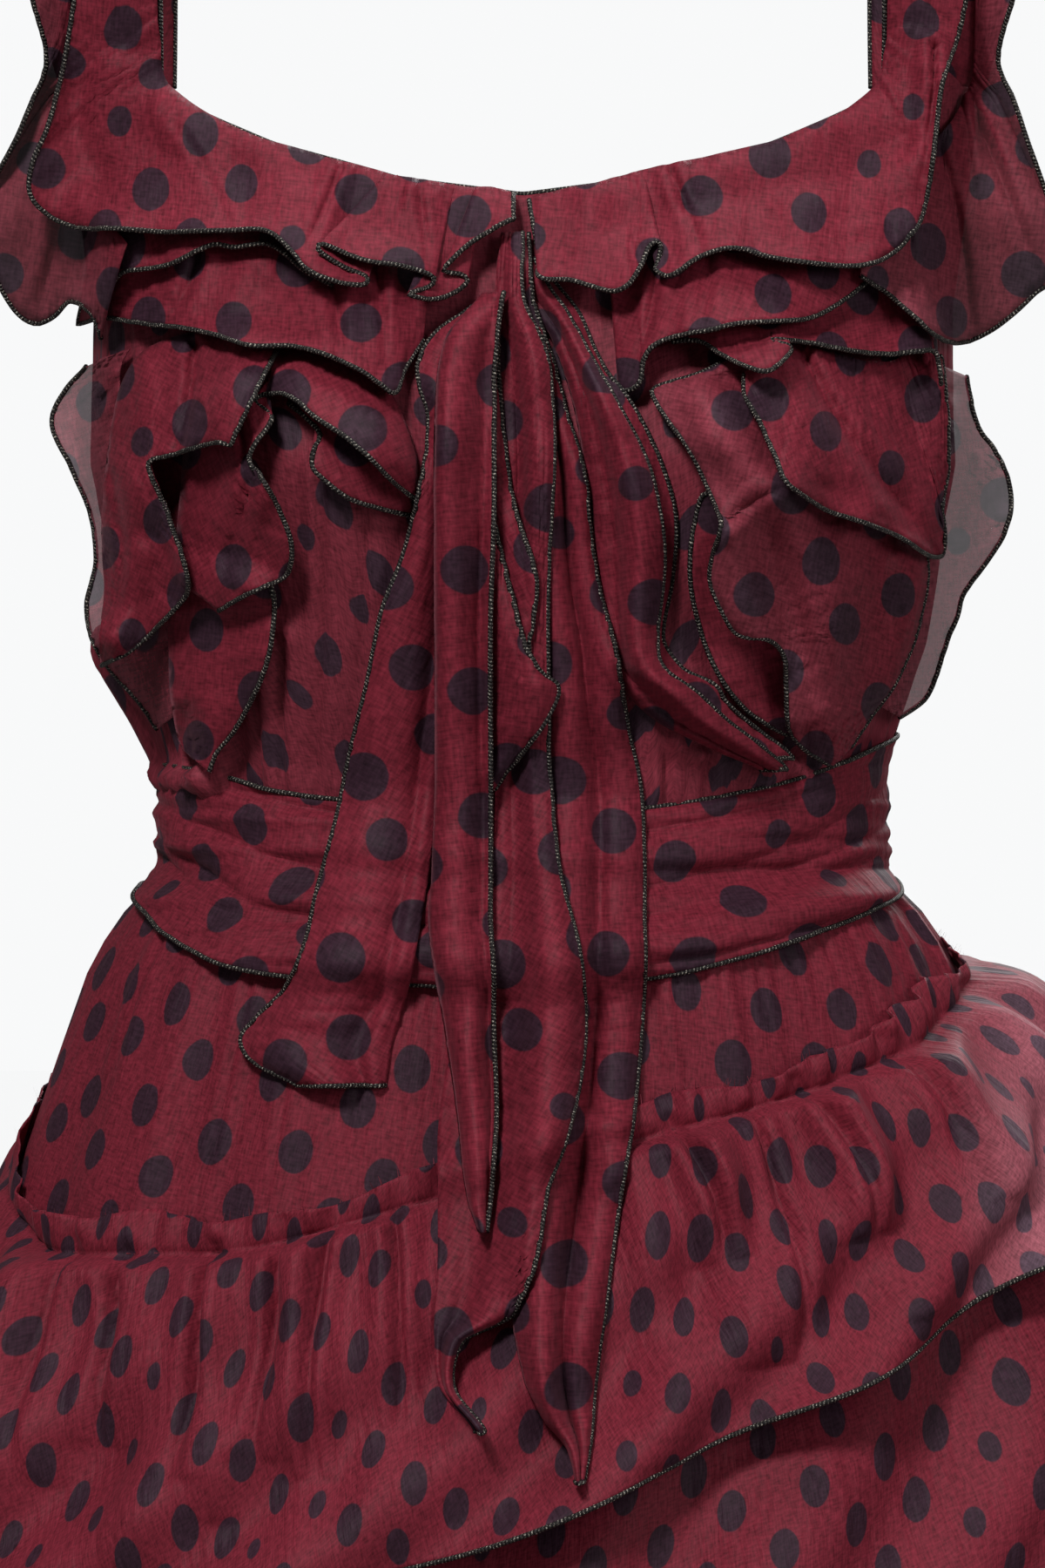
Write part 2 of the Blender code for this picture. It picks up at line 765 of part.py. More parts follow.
def bodice(relief, red):
    """Front and two backs, gathered; the back opening is the seam between its halves."""
    panels = [
        ("bodice_front", -90 + SIDE_SEAM, 90 - SIDE_SEAM, 31, 5),
        ("bodice_back_right", 90 + SIDE_SEAM, 180 - BACK_SEAM, 16, 3),
        ("bodice_back_left", -180 + BACK_SEAM, -90 - SIDE_SEAM, 16, 3),
    ]
    for name, start, end, columns, rows in panels:
        angle = np.linspace(start, end, columns)[None, :]
        top = np.interp(np.abs(angle), column(BODICE_TOP, "angle"), column(BODICE_TOP, "drop"))
        blouse = top + (BLOUSE_DROP - top) * np.linspace(0, 1, rows)[:, None]
        waist = np.array([310, 330, BODICE_END])[:, None] + 0 * angle
        drop = np.concatenate([blouse, waist])
        share = (drop - top) / (BODICE_END - top)
        gather = GATHER_RISE * np.sin(math.pi * share) * (np.arange(columns)[None, :] % 2)
        angle = angle + 0 * drop
        inner = figure_point(angle, drop, gather)
        outer = figure_point(angle, drop, gather + WALL)
        relief.add(outer)
        cloth(name, inner, outer, red)


def straps(relief, red):
    """Flat bands over the shoulders, from the front's top edge to the back's."""
    for name, side in (("strap_left", -1), ("strap_right", 1)):
        across = np.array([STRAP_INNER, STRAP_OUTER])[None, :]
        turn = np.linspace(math.radians(13), math.radians(164), 12)[:, None]
        run = AXIS_DROP - TURN_RADIUS * turn + 0 * across
        sides = np.array([[55, 31]])
        tops = np.array([[AXIS_DROP, AXIS_DROP - STRAP_SLOPE]])
        height = np.hypot(sides * np.cos(turn), tops * np.sin(turn))
        chart = np.stack([side * across + 0 * run, run, height], axis=-1)
        outer = chart.copy()
        outer[..., 2] += WALL
        inner_points, outer_points = chart_to_space(chart), chart_to_space(outer)
        relief.add(outer_points)
        cloth(name, inner_points, outer_points, red)


def ring_angles(columns):
    return np.linspace(-180, 180, columns, endpoint=False)[None, :]


def skirt_wave(angle, drop):
    """How far the base skirt's gathers lift it off the figure."""
    depth = np.interp(drop, [SKIRT_START, 420, SKIRT_END], [0.2, 1.5, 9.0])
    return depth * (1 + np.cos(np.radians(angle) * TIER_WAVES))


def skirt_base(relief, red):
    angle = ring_angles(TIER_WAVES * COLUMNS_A_WAVE)
    drop = np.array([SKIRT_START, 364, 376, 394, 423, 472, 560, 800, 1100, SKIRT_END])[:, None] + 0 * angle
    angle = angle + 0 * drop
    lift = skirt_wave(angle, drop)
    inner = figure_point(angle, drop, lift)
    outer = figure_point(angle, drop, lift + WALL)
    relief.add(outer, closed=True)
    cloth("skirt_base", inner, outer, red, closed=True)


def tier(relief, spec, seam, hem, header, rows, red):
    """A gathered tier, flat at its seam and waved at its hem; a header stands above the seam."""
    angle = ring_angles(TIER_WAVES * COLUMNS_A_WAVE)
    share = np.linspace(0, 1, rows)[:, None]
    drop = seam + (hem - seam) * share
    phase = len(spec.name) + spec.hem * 0.01
    wave = spec.wave * share**0.8 * (1 + np.cos(np.radians(angle) * TIER_WAVES + phase * share))
    clear = WALL + spec.seam_gap
    more = np.interp(angle, column(TIER_FLARE, "angle"), column(TIER_FLARE, "more"))
    lift = skirt_wave(angle, drop) + clear + spec.flare * more * share ** (0.9 / more) + wave
    if header:
        top = drop[:1] - header
        drop = np.concatenate([top, drop])
        lift = np.concatenate([skirt_wave(angle, top) + clear + HEADER_LIFT, lift])
    angle = angle + 0 * drop
    inner = figure_point(angle, drop, lift)
    outer = figure_point(angle, drop, lift + WALL)
    relief.add(outer, closed=True)
    cloth(spec.name, inner, outer, red, closed=True)


def tiers(relief, red):
    angle = ring_angles(TIER_WAVES * COLUMNS_A_WAVE)
    seam = np.interp(angle, column(TIER_SEAM, "angle"), column(TIER_SEAM, "drop"))
    first_hem = np.interp(angle, column(TIER_HEM, "angle"), column(TIER_HEM, "drop"))
    tier(relief, FIRST_TIER, seam, first_hem, TIER_HEADER, 4, red)
    hem_above = first_hem
    for spec in LOWER_TIERS:
        hem = spec.hem + spec.slant * (first_hem - FIRST_TIER.hem)
        tier(relief, spec, hem_above - TIER_LAP, hem, 0, 3, red)
        hem_above = hem


def sash(relief, red):
    """A wide band wound round the waist, with level folds that slant a little."""
    columns = 36
    rows = 2 * SASH_FOLDS + 1
    angle = ring_angles(columns)
    share = np.linspace(0, 1, rows)[:, None]
    top = np.interp(angle, column(SASH_TOP, "angle"), column(SASH_TOP, "drop"))
    end = np.interp(angle, column(SASH_END, "angle"), column(SASH_END, "drop"))
    drop = top + (end - top) * share
    angle = angle + 0 * drop
    under = 2.2 + np.interp(drop, [320, 350, 402], [0.6, 0.0, 3.2])
    fold = SASH_FOLD_RISE * (np.arange(rows)[:, None] % 2) * (0.75 + 0.25 * np.cos(np.radians(angle * 3)))
    inner = figure_point(angle, drop, under)
    outer = figure_point(angle, drop, under + WALL + 0.6 + fold)
    relief.add(outer, closed=True)
    cloth("sash", inner, outer, red, closed=True)


def over_shoulder(side, hem_across, steps, first_turn, last_turn, hem_lag, sewn_across):
    """Ribs of a ruffle from the front to the back over one shoulder, its hem waving."""
    ribs = []
    for step in range(steps):
        turn = first_turn + (last_turn - first_turn) * step / (steps - 1)
        run = AXIS_DROP - TURN_RADIUS * math.radians(turn)
        wave = math.cos(step * math.pi)
        lag = hem_lag * math.cos(math.radians(turn))
        ribs.append(Rib(side * sewn_across, run, side * (hem_across + 4 * wave), run + lag, 9 + 4 * wave))
    return ribs


def neck_back(side):
    """Ribs along the back neck, from a strap to the middle of the back."""
    ribs = []
    for step in range(BACK_STEPS):
        share = step / (BACK_STEPS - 1)
        angle = 132 + (180 - 132) * share
        drop = float(np.interp(angle, column(BODICE_TOP, "angle"), column(BODICE_TOP, "drop")))
        across = STRAP_INNER * math.cos(share * math.pi / 2) + 1.2
        wave = math.cos(step * math.pi)
        top_run = BACK_START - (drop + 3 - AXIS_DROP)
        hem_across = across * (1.22 - 0.12 * share) + 1.5 * share
        ribs.append(Rib(side * across, top_run, side * hem_across, top_run - NECK_WIDTH, 9 + 3 * wave))
    return ribs


def ruffles(relief, red):
    """The layers in the order in which they lie on each other."""
    flounce("side_ruffle_left", SIDE_RUFFLE_LEFT, relief, red, rows=3)
    flounce("side_ruffle_right", SIDE_RUFFLE_RIGHT, relief, red, rows=3)
    flounce("bust_ruffle_right_under", BUST_UNDER_RIGHT, relief, red, rows=3)
    flounce("bust_ruffle_right_inner", BUST_INNER_RIGHT, relief, red)
    flounce("bust_ruffle_right_outer", BUST_OUTER_RIGHT, relief, red)
    flounce("bust_ruffle_left_lower", BUST_LOWER_LEFT, relief, red, rows=3)
    flounce("bust_ruffle_left_outer", BUST_OUTER_LEFT, relief, red)
    flounce("bust_ruffle_left_inner", BUST_INNER_LEFT, relief, red)
    flounce("low_flounce_right", LOW_FLOUNCE_RIGHT, relief, red)
    flounce("second_flounce_right", SECOND_FLOUNCE_RIGHT, relief, red)
    flounce("second_flounce_left", SECOND_FLOUNCE_LEFT, relief, red)
    flounce("under_flounce_left", UNDER_FLOUNCE_LEFT, relief, red, rows=3)
    hanging("fall_right_short", FALL_RIGHT_SHORT, relief, red)
    hanging("fall_right_long", FALL_RIGHT_LONG, relief, red)
    hanging("fall_centre", FALL_CENTRE, relief, red)
    hanging("fall_curl", FALL_CURL, relief, red, columns=4)
    hanging("fall_left", FALL_LEFT, relief, red, columns=6, pleats=2)
    hanging("fall_leaf", FALL_LEAF, relief, red)
    for side, name, front in ((-1, "left", CAP_FRONT_LEFT), (1, "right", CAP_FRONT_RIGHT)):
        over = over_shoulder(side, CAP_HEM_ACROSS, CAP_STEPS, 16, 168, 34, STRAP_OUTER - 1)
        flounce(f"cap_ruffle_{name}", front + over, relief, red, rows=3)
    for side, name, front in ((-1, "left", NECK_FRONT_LEFT), (1, "right", NECK_FRONT_RIGHT)):
        over = over_shoulder(side, NECK_HEM_ACROSS, OVER_STEPS, 36, 158, 12, STRAP_INNER + 1)
        flounce(f"neck_flounce_{name}", front + over + neck_back(side), relief, red)


def main():
    for thing in list(bpy.data.objects):
        bpy.data.objects.remove(thing)
    top_red = silk("spotted silk", CLOTH_RED)
    under_red = silk("spotted silk in shade", UNDER_RED)
    relief = Relief()
    bodice(relief, under_red)
    skirt_base(relief, under_red)
    tiers(relief, top_red)
    sash(relief, top_red)
    straps(relief, under_red)
    ruffles(relief, top_red)


main()
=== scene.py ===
# %% [markdown]
# # A ruffled silk gown with polka dots
# The gown is thin burgundy silk with dark plum dots. Every ruffle is a strip with a rolled edge, sewn on by
# its other side, and the layers lie on each other like roof tiles. This lesson lays each strip on what is
# under it, from the lowest layer to the highest, and gives the edges that show an overlocked thread.

import math
from collections import namedtuple

import bpy
import numpy as np
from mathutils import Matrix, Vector


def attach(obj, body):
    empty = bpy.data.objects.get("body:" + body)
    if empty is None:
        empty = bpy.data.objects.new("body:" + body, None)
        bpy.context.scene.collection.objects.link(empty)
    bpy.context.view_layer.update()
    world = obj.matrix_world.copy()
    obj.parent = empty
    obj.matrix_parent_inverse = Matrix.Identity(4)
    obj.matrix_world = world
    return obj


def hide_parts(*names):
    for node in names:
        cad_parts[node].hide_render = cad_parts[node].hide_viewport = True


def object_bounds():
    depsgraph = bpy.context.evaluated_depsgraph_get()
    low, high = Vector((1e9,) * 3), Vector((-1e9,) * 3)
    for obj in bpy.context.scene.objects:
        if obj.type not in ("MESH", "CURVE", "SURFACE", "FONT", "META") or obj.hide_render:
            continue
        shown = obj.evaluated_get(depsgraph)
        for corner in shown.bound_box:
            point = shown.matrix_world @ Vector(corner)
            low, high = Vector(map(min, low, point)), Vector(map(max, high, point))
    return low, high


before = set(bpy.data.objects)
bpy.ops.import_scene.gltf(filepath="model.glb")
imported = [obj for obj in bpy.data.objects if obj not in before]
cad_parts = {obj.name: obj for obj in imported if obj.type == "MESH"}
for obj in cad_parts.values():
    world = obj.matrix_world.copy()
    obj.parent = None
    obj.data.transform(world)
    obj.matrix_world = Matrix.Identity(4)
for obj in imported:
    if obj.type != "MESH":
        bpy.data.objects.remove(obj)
CAD_LOW, CAD_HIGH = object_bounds()
print("CAD box", [round(value, 3) for value in (*CAD_LOW, *CAD_HIGH)])

# %% [markdown]
# The camera stands three metres in front of the gown with a long lens, level, as in a shop's photograph. A
# long lens keeps near and far layers at almost one scale. The studio is a pale floor under a pale sky.

# %% Camera, floor and light
MM = 0.001
CAMERA_AWAY = 3.0
CAMERA_HEIGHT = -0.336
LENS = 206.9
FLOOR_GAP = 0.006
FLOOR_REACH = 30
FLOOR_SEEN = 0.91
FLOOR_GREY = (0.30, 0.299, 0.297, 1)
SKY_SEEN = 0.97
SKY_LIGHT = 0.12
PALE = (0.97, 0.975, 0.98, 1)

camera_data = bpy.data.cameras.new("camera")
camera_data.lens = LENS
camera = bpy.data.objects.new("camera", camera_data)
camera.location = (0, -CAMERA_AWAY, CAMERA_HEIGHT)
camera.rotation_euler = (math.pi / 2, 0, 0)
bpy.context.collection.objects.link(camera)
bpy.context.scene.camera = camera
bpy.context.scene.view_settings.view_transform = "Standard"


def seen_only(tree, socket, as_light, seen):
    """A strength that is one number for the camera and another where it lights things."""
    ray = tree.nodes.new("ShaderNodeLightPath")
    strength = tree.nodes.new("ShaderNodeMapRange")
    strength.inputs["To Min"].default_value = as_light
    strength.inputs["To Max"].default_value = seen
    tree.links.new(ray.outputs["Is Camera Ray"], strength.inputs["Value"])
    tree.links.new(strength.outputs["Result"], socket)


def placed(mesh):
    """A mesh's own object, at the origin."""
    thing = bpy.data.objects.new(mesh.name, mesh)
    bpy.context.collection.objects.link(thing)
    return thing


def studio_floor(height):
    """A wide pale floor under the gown, clear of every camera."""
    mesh = bpy.data.meshes.new("floor")
    corners = [(x * FLOOR_REACH, y * FLOOR_REACH, height) for x, y in ((-1, -1), (1, -1), (1, 1), (-1, 1))]
    mesh.from_pydata(corners, [], [(0, 1, 2, 3)])
    material = bpy.data.materials.new("floor")
    material.use_nodes = True
    tree = material.node_tree
    shader = tree.nodes["Principled BSDF"]
    shader.inputs["Base Color"].default_value = FLOOR_GREY
    shader.inputs["Roughness"].default_value = 0.9
    shader.inputs["Emission Color"].default_value = PALE
    seen_only(tree, shader.inputs["Emission Strength"], 0, FLOOR_SEEN)
    mesh.materials.append(material)
    placed(mesh)


Lamp = namedtuple("Lamp", "name x y z size power")
LAMPS = [
    Lamp("key", -0.85, -2.4, 1.6, 0.6, 72),
    Lamp("fill", 2.0, -2.4, 0.4, 1.2, 22),
    Lamp("top", 0.3, 0.1, 1.9, 1.2, 22),
    Lamp("back", 0.9, 2.6, 1.2, 1.6, 48),
]


def light(lamp, aim):
    data = bpy.data.lights.new(lamp.name, "AREA")
    data.size = lamp.size
    data.energy = lamp.power
    thing = bpy.data.objects.new(lamp.name, data)
    thing.location = (lamp.x, lamp.y, lamp.z)
    away = Vector(aim) - thing.location
    thing.rotation_euler = away.to_track_quat("-Z", "Y").to_euler()
    bpy.context.collection.objects.link(thing)


def studio_sky():
    """A pale sky: bright where a camera sees it, and dim as a light, so folds keep their shade."""
    world = bpy.data.worlds.new("studio")
    world.use_nodes = True
    tree = world.node_tree
    sky = tree.nodes["Background"]
    sky.inputs["Color"].default_value = PALE
    seen_only(tree, sky.inputs["Strength"], SKY_LIGHT, SKY_SEEN)
    bpy.context.scene.world = world


studio_floor(CAD_LOW.z - FLOOR_GAP)
for lamp in LAMPS:
    light(lamp, (0, 0, CAMERA_HEIGHT))
studio_sky()

# %% [markdown]
# The figure under the gown is a table of level sections, as a dress stand is. The cloth above it is made in
# a chart: across the body, down its front, and the height off it. The chart turns over the shoulders, so one
# strip can run from the front to the back. The figure is the CAD part's own, in millimetres.

# %% The figure and the chart
WALL = 1.2
Section = namedtuple("Section", "drop half_width front back square")
SECTIONS = [
    Section(90, 151, 66, 70, 3.0),
    Section(120, 150, 74, 82, 3.0),
    Section(180, 141, 88, 92, 2.6),
    Section(230, 141, 100, 92, 2.4),
    Section(290, 130, 98, 88, 2.2),
    Section(310, 124, 96, 84, 2.1),
    Section(330, 117, 90, 80, 2.1),
    Section(364, 116, 87, 79, 2.1),
    Section(376, 128, 94, 88, 2.1),
    Section(394, 140, 99, 96, 2.1),
    Section(423, 150, 105, 106, 2.1),
    Section(472, 167, 112, 119, 2.1),
    Section(560, 190, 128, 139, 2.1),
    Section(800, 234, 172, 184, 2.0),
    Section(1100, 272, 218, 232, 2.0),
    Section(1380, 300, 250, 266, 2.0),
]
BUST_ACROSS = 72
BUST_DROP = 232
BUST_WIDTH = 38
BUST_HEIGHT = 46
BUST_RISE = 22
AXIS_DROP = 110
TURN_RADIUS = 80
BACK_START = AXIS_DROP - math.pi * TURN_RADIUS
CELL = 1.25
ACROSS_REACH = 231
RUN_LOW = -330
RUN_HIGH = 620
DRAPE_CELLS = 3
LIFT_CELLS = 8
LAYING_STEPS = 24
SHELL = 0.45
LAYER_GAP = 0.35


def column(table, name):
    return np.array([getattr(row, name) for row in table], dtype=float)


def read_table(table, key, name, at):
    """A column read off between the rows, along straight lines."""
    return np.interp(at, column(table, key), column(table, name))


def through(values, at):
    """A smooth curve through values at 0, 1, 2 and so on, read off at any numbers between."""
    last = len(values) - 1
    start = np.clip(np.floor(at).astype(int), 0, last - 1)
    share = at - start
    before, here, after, beyond = (values[np.clip(start + step, 0, last)] for step in (-1, 0, 1, 2))
    first = after - before
    second = 2 * before - 5 * here + 4 * after - beyond
    third = 3 * here - before - 3 * after + beyond
    return 0.5 * (2 * here + first * share + second * share**2 + third * share**3)


def figure_point(angle, drop, offset):
    """Points round the figure, moved out by offset: arrays of degrees, drops and offsets of one shape."""
    half_width = read_table(SECTIONS, "drop", "half_width", drop)
    front = read_table(SECTIONS, "drop", "front", drop)
    back = read_table(SECTIONS, "drop", "back", drop)
    square = read_table(SECTIONS, "drop", "square", drop)
    sine = np.sin(np.radians(angle))
    cosine = np.cos(np.radians(angle))
    scale = (np.abs(sine) ** square + np.abs(cosine) ** square) ** (-1 / square)
    depth = np.where(cosine > 0, front, back)
    x = half_width * sine * scale
    y = -depth * cosine * scale
    from_bust = ((np.abs(x) - BUST_ACROSS) / BUST_WIDTH) ** 2 + ((drop - BUST_DROP) / BUST_HEIGHT) ** 2
    y = y - np.where(cosine > 0, BUST_RISE * np.exp(-from_bust), 0.0)
    normal_x = sine / half_width
    normal_y = -cosine / depth
    length = np.hypot(normal_x, normal_y)
    x = x + offset * normal_x / length
    y = y + offset * normal_y / length
    return np.stack([x, y, -drop + 0 * x], axis=-1)


def chart_to_space(chart):
    """From (across, run, height) to (x, y, z)."""
    across, run, height = np.moveaxis(chart, -1, 0)
    turn = np.clip((AXIS_DROP - run) / TURN_RADIUS, 0, math.pi)
    below = np.maximum(run - AXIS_DROP, 0) + np.maximum(BACK_START - run, 0)
    y = -height * np.cos(turn)
    z = height * np.sin(turn) - AXIS_DROP - below
    return np.stack([across, y, z], axis=-1)


def space_to_chart(points):
    """From (x, y, z) to (across, run, height)."""
    x, y, z = np.moveaxis(points, -1, 0)
    rise = z + AXIS_DROP
    turn = np.arctan2(np.maximum(rise, 0), -y)
    over = AXIS_DROP - TURN_RADIUS * turn
    run = np.where(rise > 0, over, np.where(y <= 0, -z, BACK_START + z + AXIS_DROP))
    height = np.where(rise > 0, np.hypot(y, rise), np.abs(y))
    return np.stack([x, run, height], axis=-1)


def figure_height(across, run):
    """The chart's height of the bare figure, shoulders and upper arms roughly."""
    behind = BACK_START + AXIS_DROP - run
    drop = np.where(run >= AXIS_DROP, run, np.where(run <= BACK_START, behind, AXIS_DROP))
    half_width = read_table(SECTIONS, "drop", "half_width", drop)
    front = read_table(SECTIONS, "drop", "front", drop)
    square = read_table(SECTIONS, "drop", "square", drop)
    share = np.clip(np.abs(across) / half_width, 0, 1)
    chest = front * (1 - share**square) ** (1 / square) - 4
    arm = 34 - 0.5 * np.maximum(np.abs(across) - 165, 0) - 0.6 * np.maximum(drop - 150, 0)
    level = np.maximum(chest, np.where(np.abs(across) > 125, np.maximum(arm, 2), 2))
    top = AXIS_DROP - 0.26 * np.maximum(np.abs(across) - 118, 0)
    top = top - 1.0 * np.maximum(np.abs(across) - 168, 0) - 3
    turn = np.clip((AXIS_DROP - run) / TURN_RADIUS, 0, math.pi)
    return np.hypot(level * np.cos(turn), top * np.sin(turn))


def shifted(grid, step, axis):
    width = [(0, 0), (0, 0)]
    width[axis] = (max(step, 0), max(-step, 0))
    padded = np.pad(grid, width, mode="edge")
    if axis == 0:
        return padded[max(-step, 0) : padded.shape[0] - max(step, 0), :]
    return padded[:, max(-step, 0) : padded.shape[1] - max(step, 0)]


def spread(grid, cells):
    """Each cell gets the highest value within so many cells."""
    for axis in (0, 1):
        best = grid.copy()
        for step in range(1, cells + 1):
            best = np.maximum(best, shifted(grid, step, axis))
            best = np.maximum(best, shifted(grid, -step, axis))
        grid = best
    return grid


def softened(grid, cells):
    """Each cell gets the mean of those within so many cells."""
    for axis in (0, 1):
        total = grid.copy()
        for step in range(1, cells + 1):
            total = total + shifted(grid, step, axis) + shifted(grid, -step, axis)
        grid = total / (2 * cells + 1)
    return grid


def fine_points(points, closed):
    """Points all over a grid's triangles, about a cell apart."""
    if closed:
        points = np.concatenate([points, points[:, :1]], axis=1)
    a, b = points[:-1, :-1], points[:-1, 1:]
    c, d = points[1:, 1:], points[1:, :-1]
    sides = np.concatenate([(b - a).reshape(-1, 3), (d - a).reshape(-1, 3)])
    steps = int(np.clip(np.ceil(np.percentile(np.linalg.norm(sides, axis=1), 99) / CELL), 1, 6)) + 1
    u, v = np.meshgrid(np.linspace(0, 1, steps), np.linspace(0, 1, steps), indexing="ij")
    u, v = u.reshape(-1, 1, 1, 1), v.reshape(-1, 1, 1, 1)
    filled = a * (1 - u) * (1 - v) + b * u * (1 - v) + c * u * v + d * (1 - u) * v
    return filled.reshape(-1, 3)


class Relief:
    """How high the cloth made so far stands, on a grid of the chart."""

    def __init__(self):
        self.acrosses = np.arange(-ACROSS_REACH, ACROSS_REACH + CELL, CELL)
        self.runs = np.arange(RUN_LOW, RUN_HIGH + CELL, CELL)
        self.height = figure_height(self.acrosses[:, None], self.runs[None, :])

    def cells(self, chart):
        i = np.rint((chart[..., 0] + ACROSS_REACH) / CELL).astype(int)
        j = np.rint((chart[..., 1] - RUN_LOW) / CELL).astype(int)
        inside = (i >= 0) & (i < len(self.acrosses)) & (j >= 0) & (j < len(self.runs))
        return np.clip(i, 0, len(self.acrosses) - 1), np.clip(j, 0, len(self.runs) - 1), inside

    def add(self, outer, closed=False):
        """Raise the relief to a piece's outer face, given in space."""
        fine = space_to_chart(fine_points(outer, closed))
        i, j, inside = self.cells(fine)
        np.maximum.at(self.height, (i[inside], j[inside]), fine[..., 2][inside])

    def read(self, grid, chart):
        i, j, _ = self.cells(chart)
        return grid[i, j]

    def lay(self, chart):
        """Lay a sheet: the chart's third value is how far each point stands off what is under it."""
        ground = softened(self.height, DRAPE_CELLS)
        wide = spread(self.height, 1)
        rise = np.zeros_like(ground)
        for _ in range(LAYING_STEPS):
            sheet = chart.copy()
            sheet[..., 2] += self.read(ground + rise, chart)
            short = self.read(wide, sheet) + LAYER_GAP - sheet[..., 2]
            if short.max() <= 0:
                break
            need = np.zeros_like(ground)
            i, j, inside = self.cells(sheet)
            np.maximum.at(need, (i[inside], j[inside]), np.maximum(short, 0)[inside])
            rise = rise + softened(spread(need, LIFT_CELLS), LIFT_CELLS // 2)
        sheet[..., 2] += min(short.max(), 0)
        return chart_to_space(sheet)


relief = Relief()
print("relief of", relief.height.shape, "cells")

# %% [markdown]
# Cloth is never smooth. Fine creases run from the sewn edge, where the strip is gathered, and die out on the
# way to the hem, and the hem itself waves. Both come from a seeded random generator, so each strip is uneven
# in its own way and the same each time. The main creases are drawn, one row of a table for each.

# %% Creases and sheets
def creases(along, down, seed, pitch, width, depth, reach=0.8, slant=8.0):
    """Soft ridges from the sewn edge towards the hem: along in mm, down from 0 to 1."""
    draw = np.random.default_rng(seed)
    total = np.zeros_like(along)
    for _ in range(max(int(np.ptp(along) / pitch), 1)):
        centre = draw.uniform(along.min(), along.max())
        lean = draw.uniform(-slant, slant)
        wide = width * draw.uniform(0.6, 1.6)
        end = reach * draw.uniform(0.5, 1.25)
        high = depth * draw.uniform(-0.5, 1.0)
        ridge = np.exp(-(((along - centre - lean * down) / wide) ** 2))
        total += high * ridge * np.clip(1.15 - down / end, 0, 1)
    return total


RIPPLE_COUNT = 3
RIPPLE_LENGTH = 38.0


def ripples(along, down, seed, size):
    """A hem's own waves, none at the sewn edge."""
    draw = np.random.default_rng(seed)
    total = np.zeros_like(along)
    for _ in range(RIPPLE_COUNT):
        length = RIPPLE_LENGTH * draw.uniform(0.6, 1.5)
        total += np.sin(2 * math.pi * along / length + draw.uniform(0, 2 * math.pi))
    return size * (total / RIPPLE_COUNT + 0.6) * down**1.3


# A crease, drawn from one place to another, where it dies out. Cut 1 puts a sharp valley in its
# middle, and bow bends it sideways.
Crease = namedtuple("Crease", "across drop to_across to_drop width rise cut bow")


def drawn(table, across, drop):
    """The height that a table of creases adds at each place."""
    total = 0 * (across + drop)
    for row in table:
        way_x = row.to_across - row.across
        way_y = row.to_drop - row.drop
        length = math.hypot(way_x, way_y)
        share = ((across - row.across) * way_x + (drop - row.drop) * way_y) / length**2
        beyond = np.maximum(np.maximum(-share, share - 1), 0) * length
        aside = ((across - row.across) * way_y - (drop - row.drop) * way_x) / length
        share = np.clip(share, 0, 1)
        away = np.hypot(aside - row.bow * np.sin(math.pi * share), beyond)
        ridge = np.exp(-((away / row.width) ** 2)) - row.cut * np.exp(-((away / (0.3 * row.width)) ** 2))
        total = total + row.rise * ridge * (1 - share) ** 0.5
    return total


def distances(points, axis):
    """How far each point of a grid is from the first one of its row or column, along the grid."""
    step = np.linalg.norm(np.diff(points, axis=axis), axis=-1)
    start = np.zeros_like(np.take(step, [0], axis=axis))
    return np.cumsum(np.concatenate([start, step], axis=axis), axis=axis)


def round_the_front(across):
    """How far each place is from the front's middle, measured round the bust."""
    bust = figure_point(np.linspace(0, 90, 91), BUST_DROP - 30, 0)
    step = np.diff(bust, axis=0)
    gone = np.concatenate([[0], np.cumsum(np.minimum(np.linalg.norm(step, axis=1), 1.25 * step[:, 0]))])
    reach = np.interp(np.abs(across), bust[:, 0], gone) + np.maximum(np.abs(across) - bust[-1, 0], 0)
    return np.sign(across) * reach


EVENED_COLUMNS = 8


def evened(values):
    """A closed grid's values smoothed round it, all but their steady growth."""
    growth = np.linspace(0, 1, values.shape[1])[None, :] * (values[:, -1:] - values[:, :1])
    ring = (values - growth)[:, :-1]
    steps = range(-EVENED_COLUMNS, EVENED_COLUMNS + 1)
    ring = sum(np.roll(ring, step, axis=1) for step in steps) / len(steps)
    return growth + np.concatenate([ring, ring[:, :1]], axis=1)


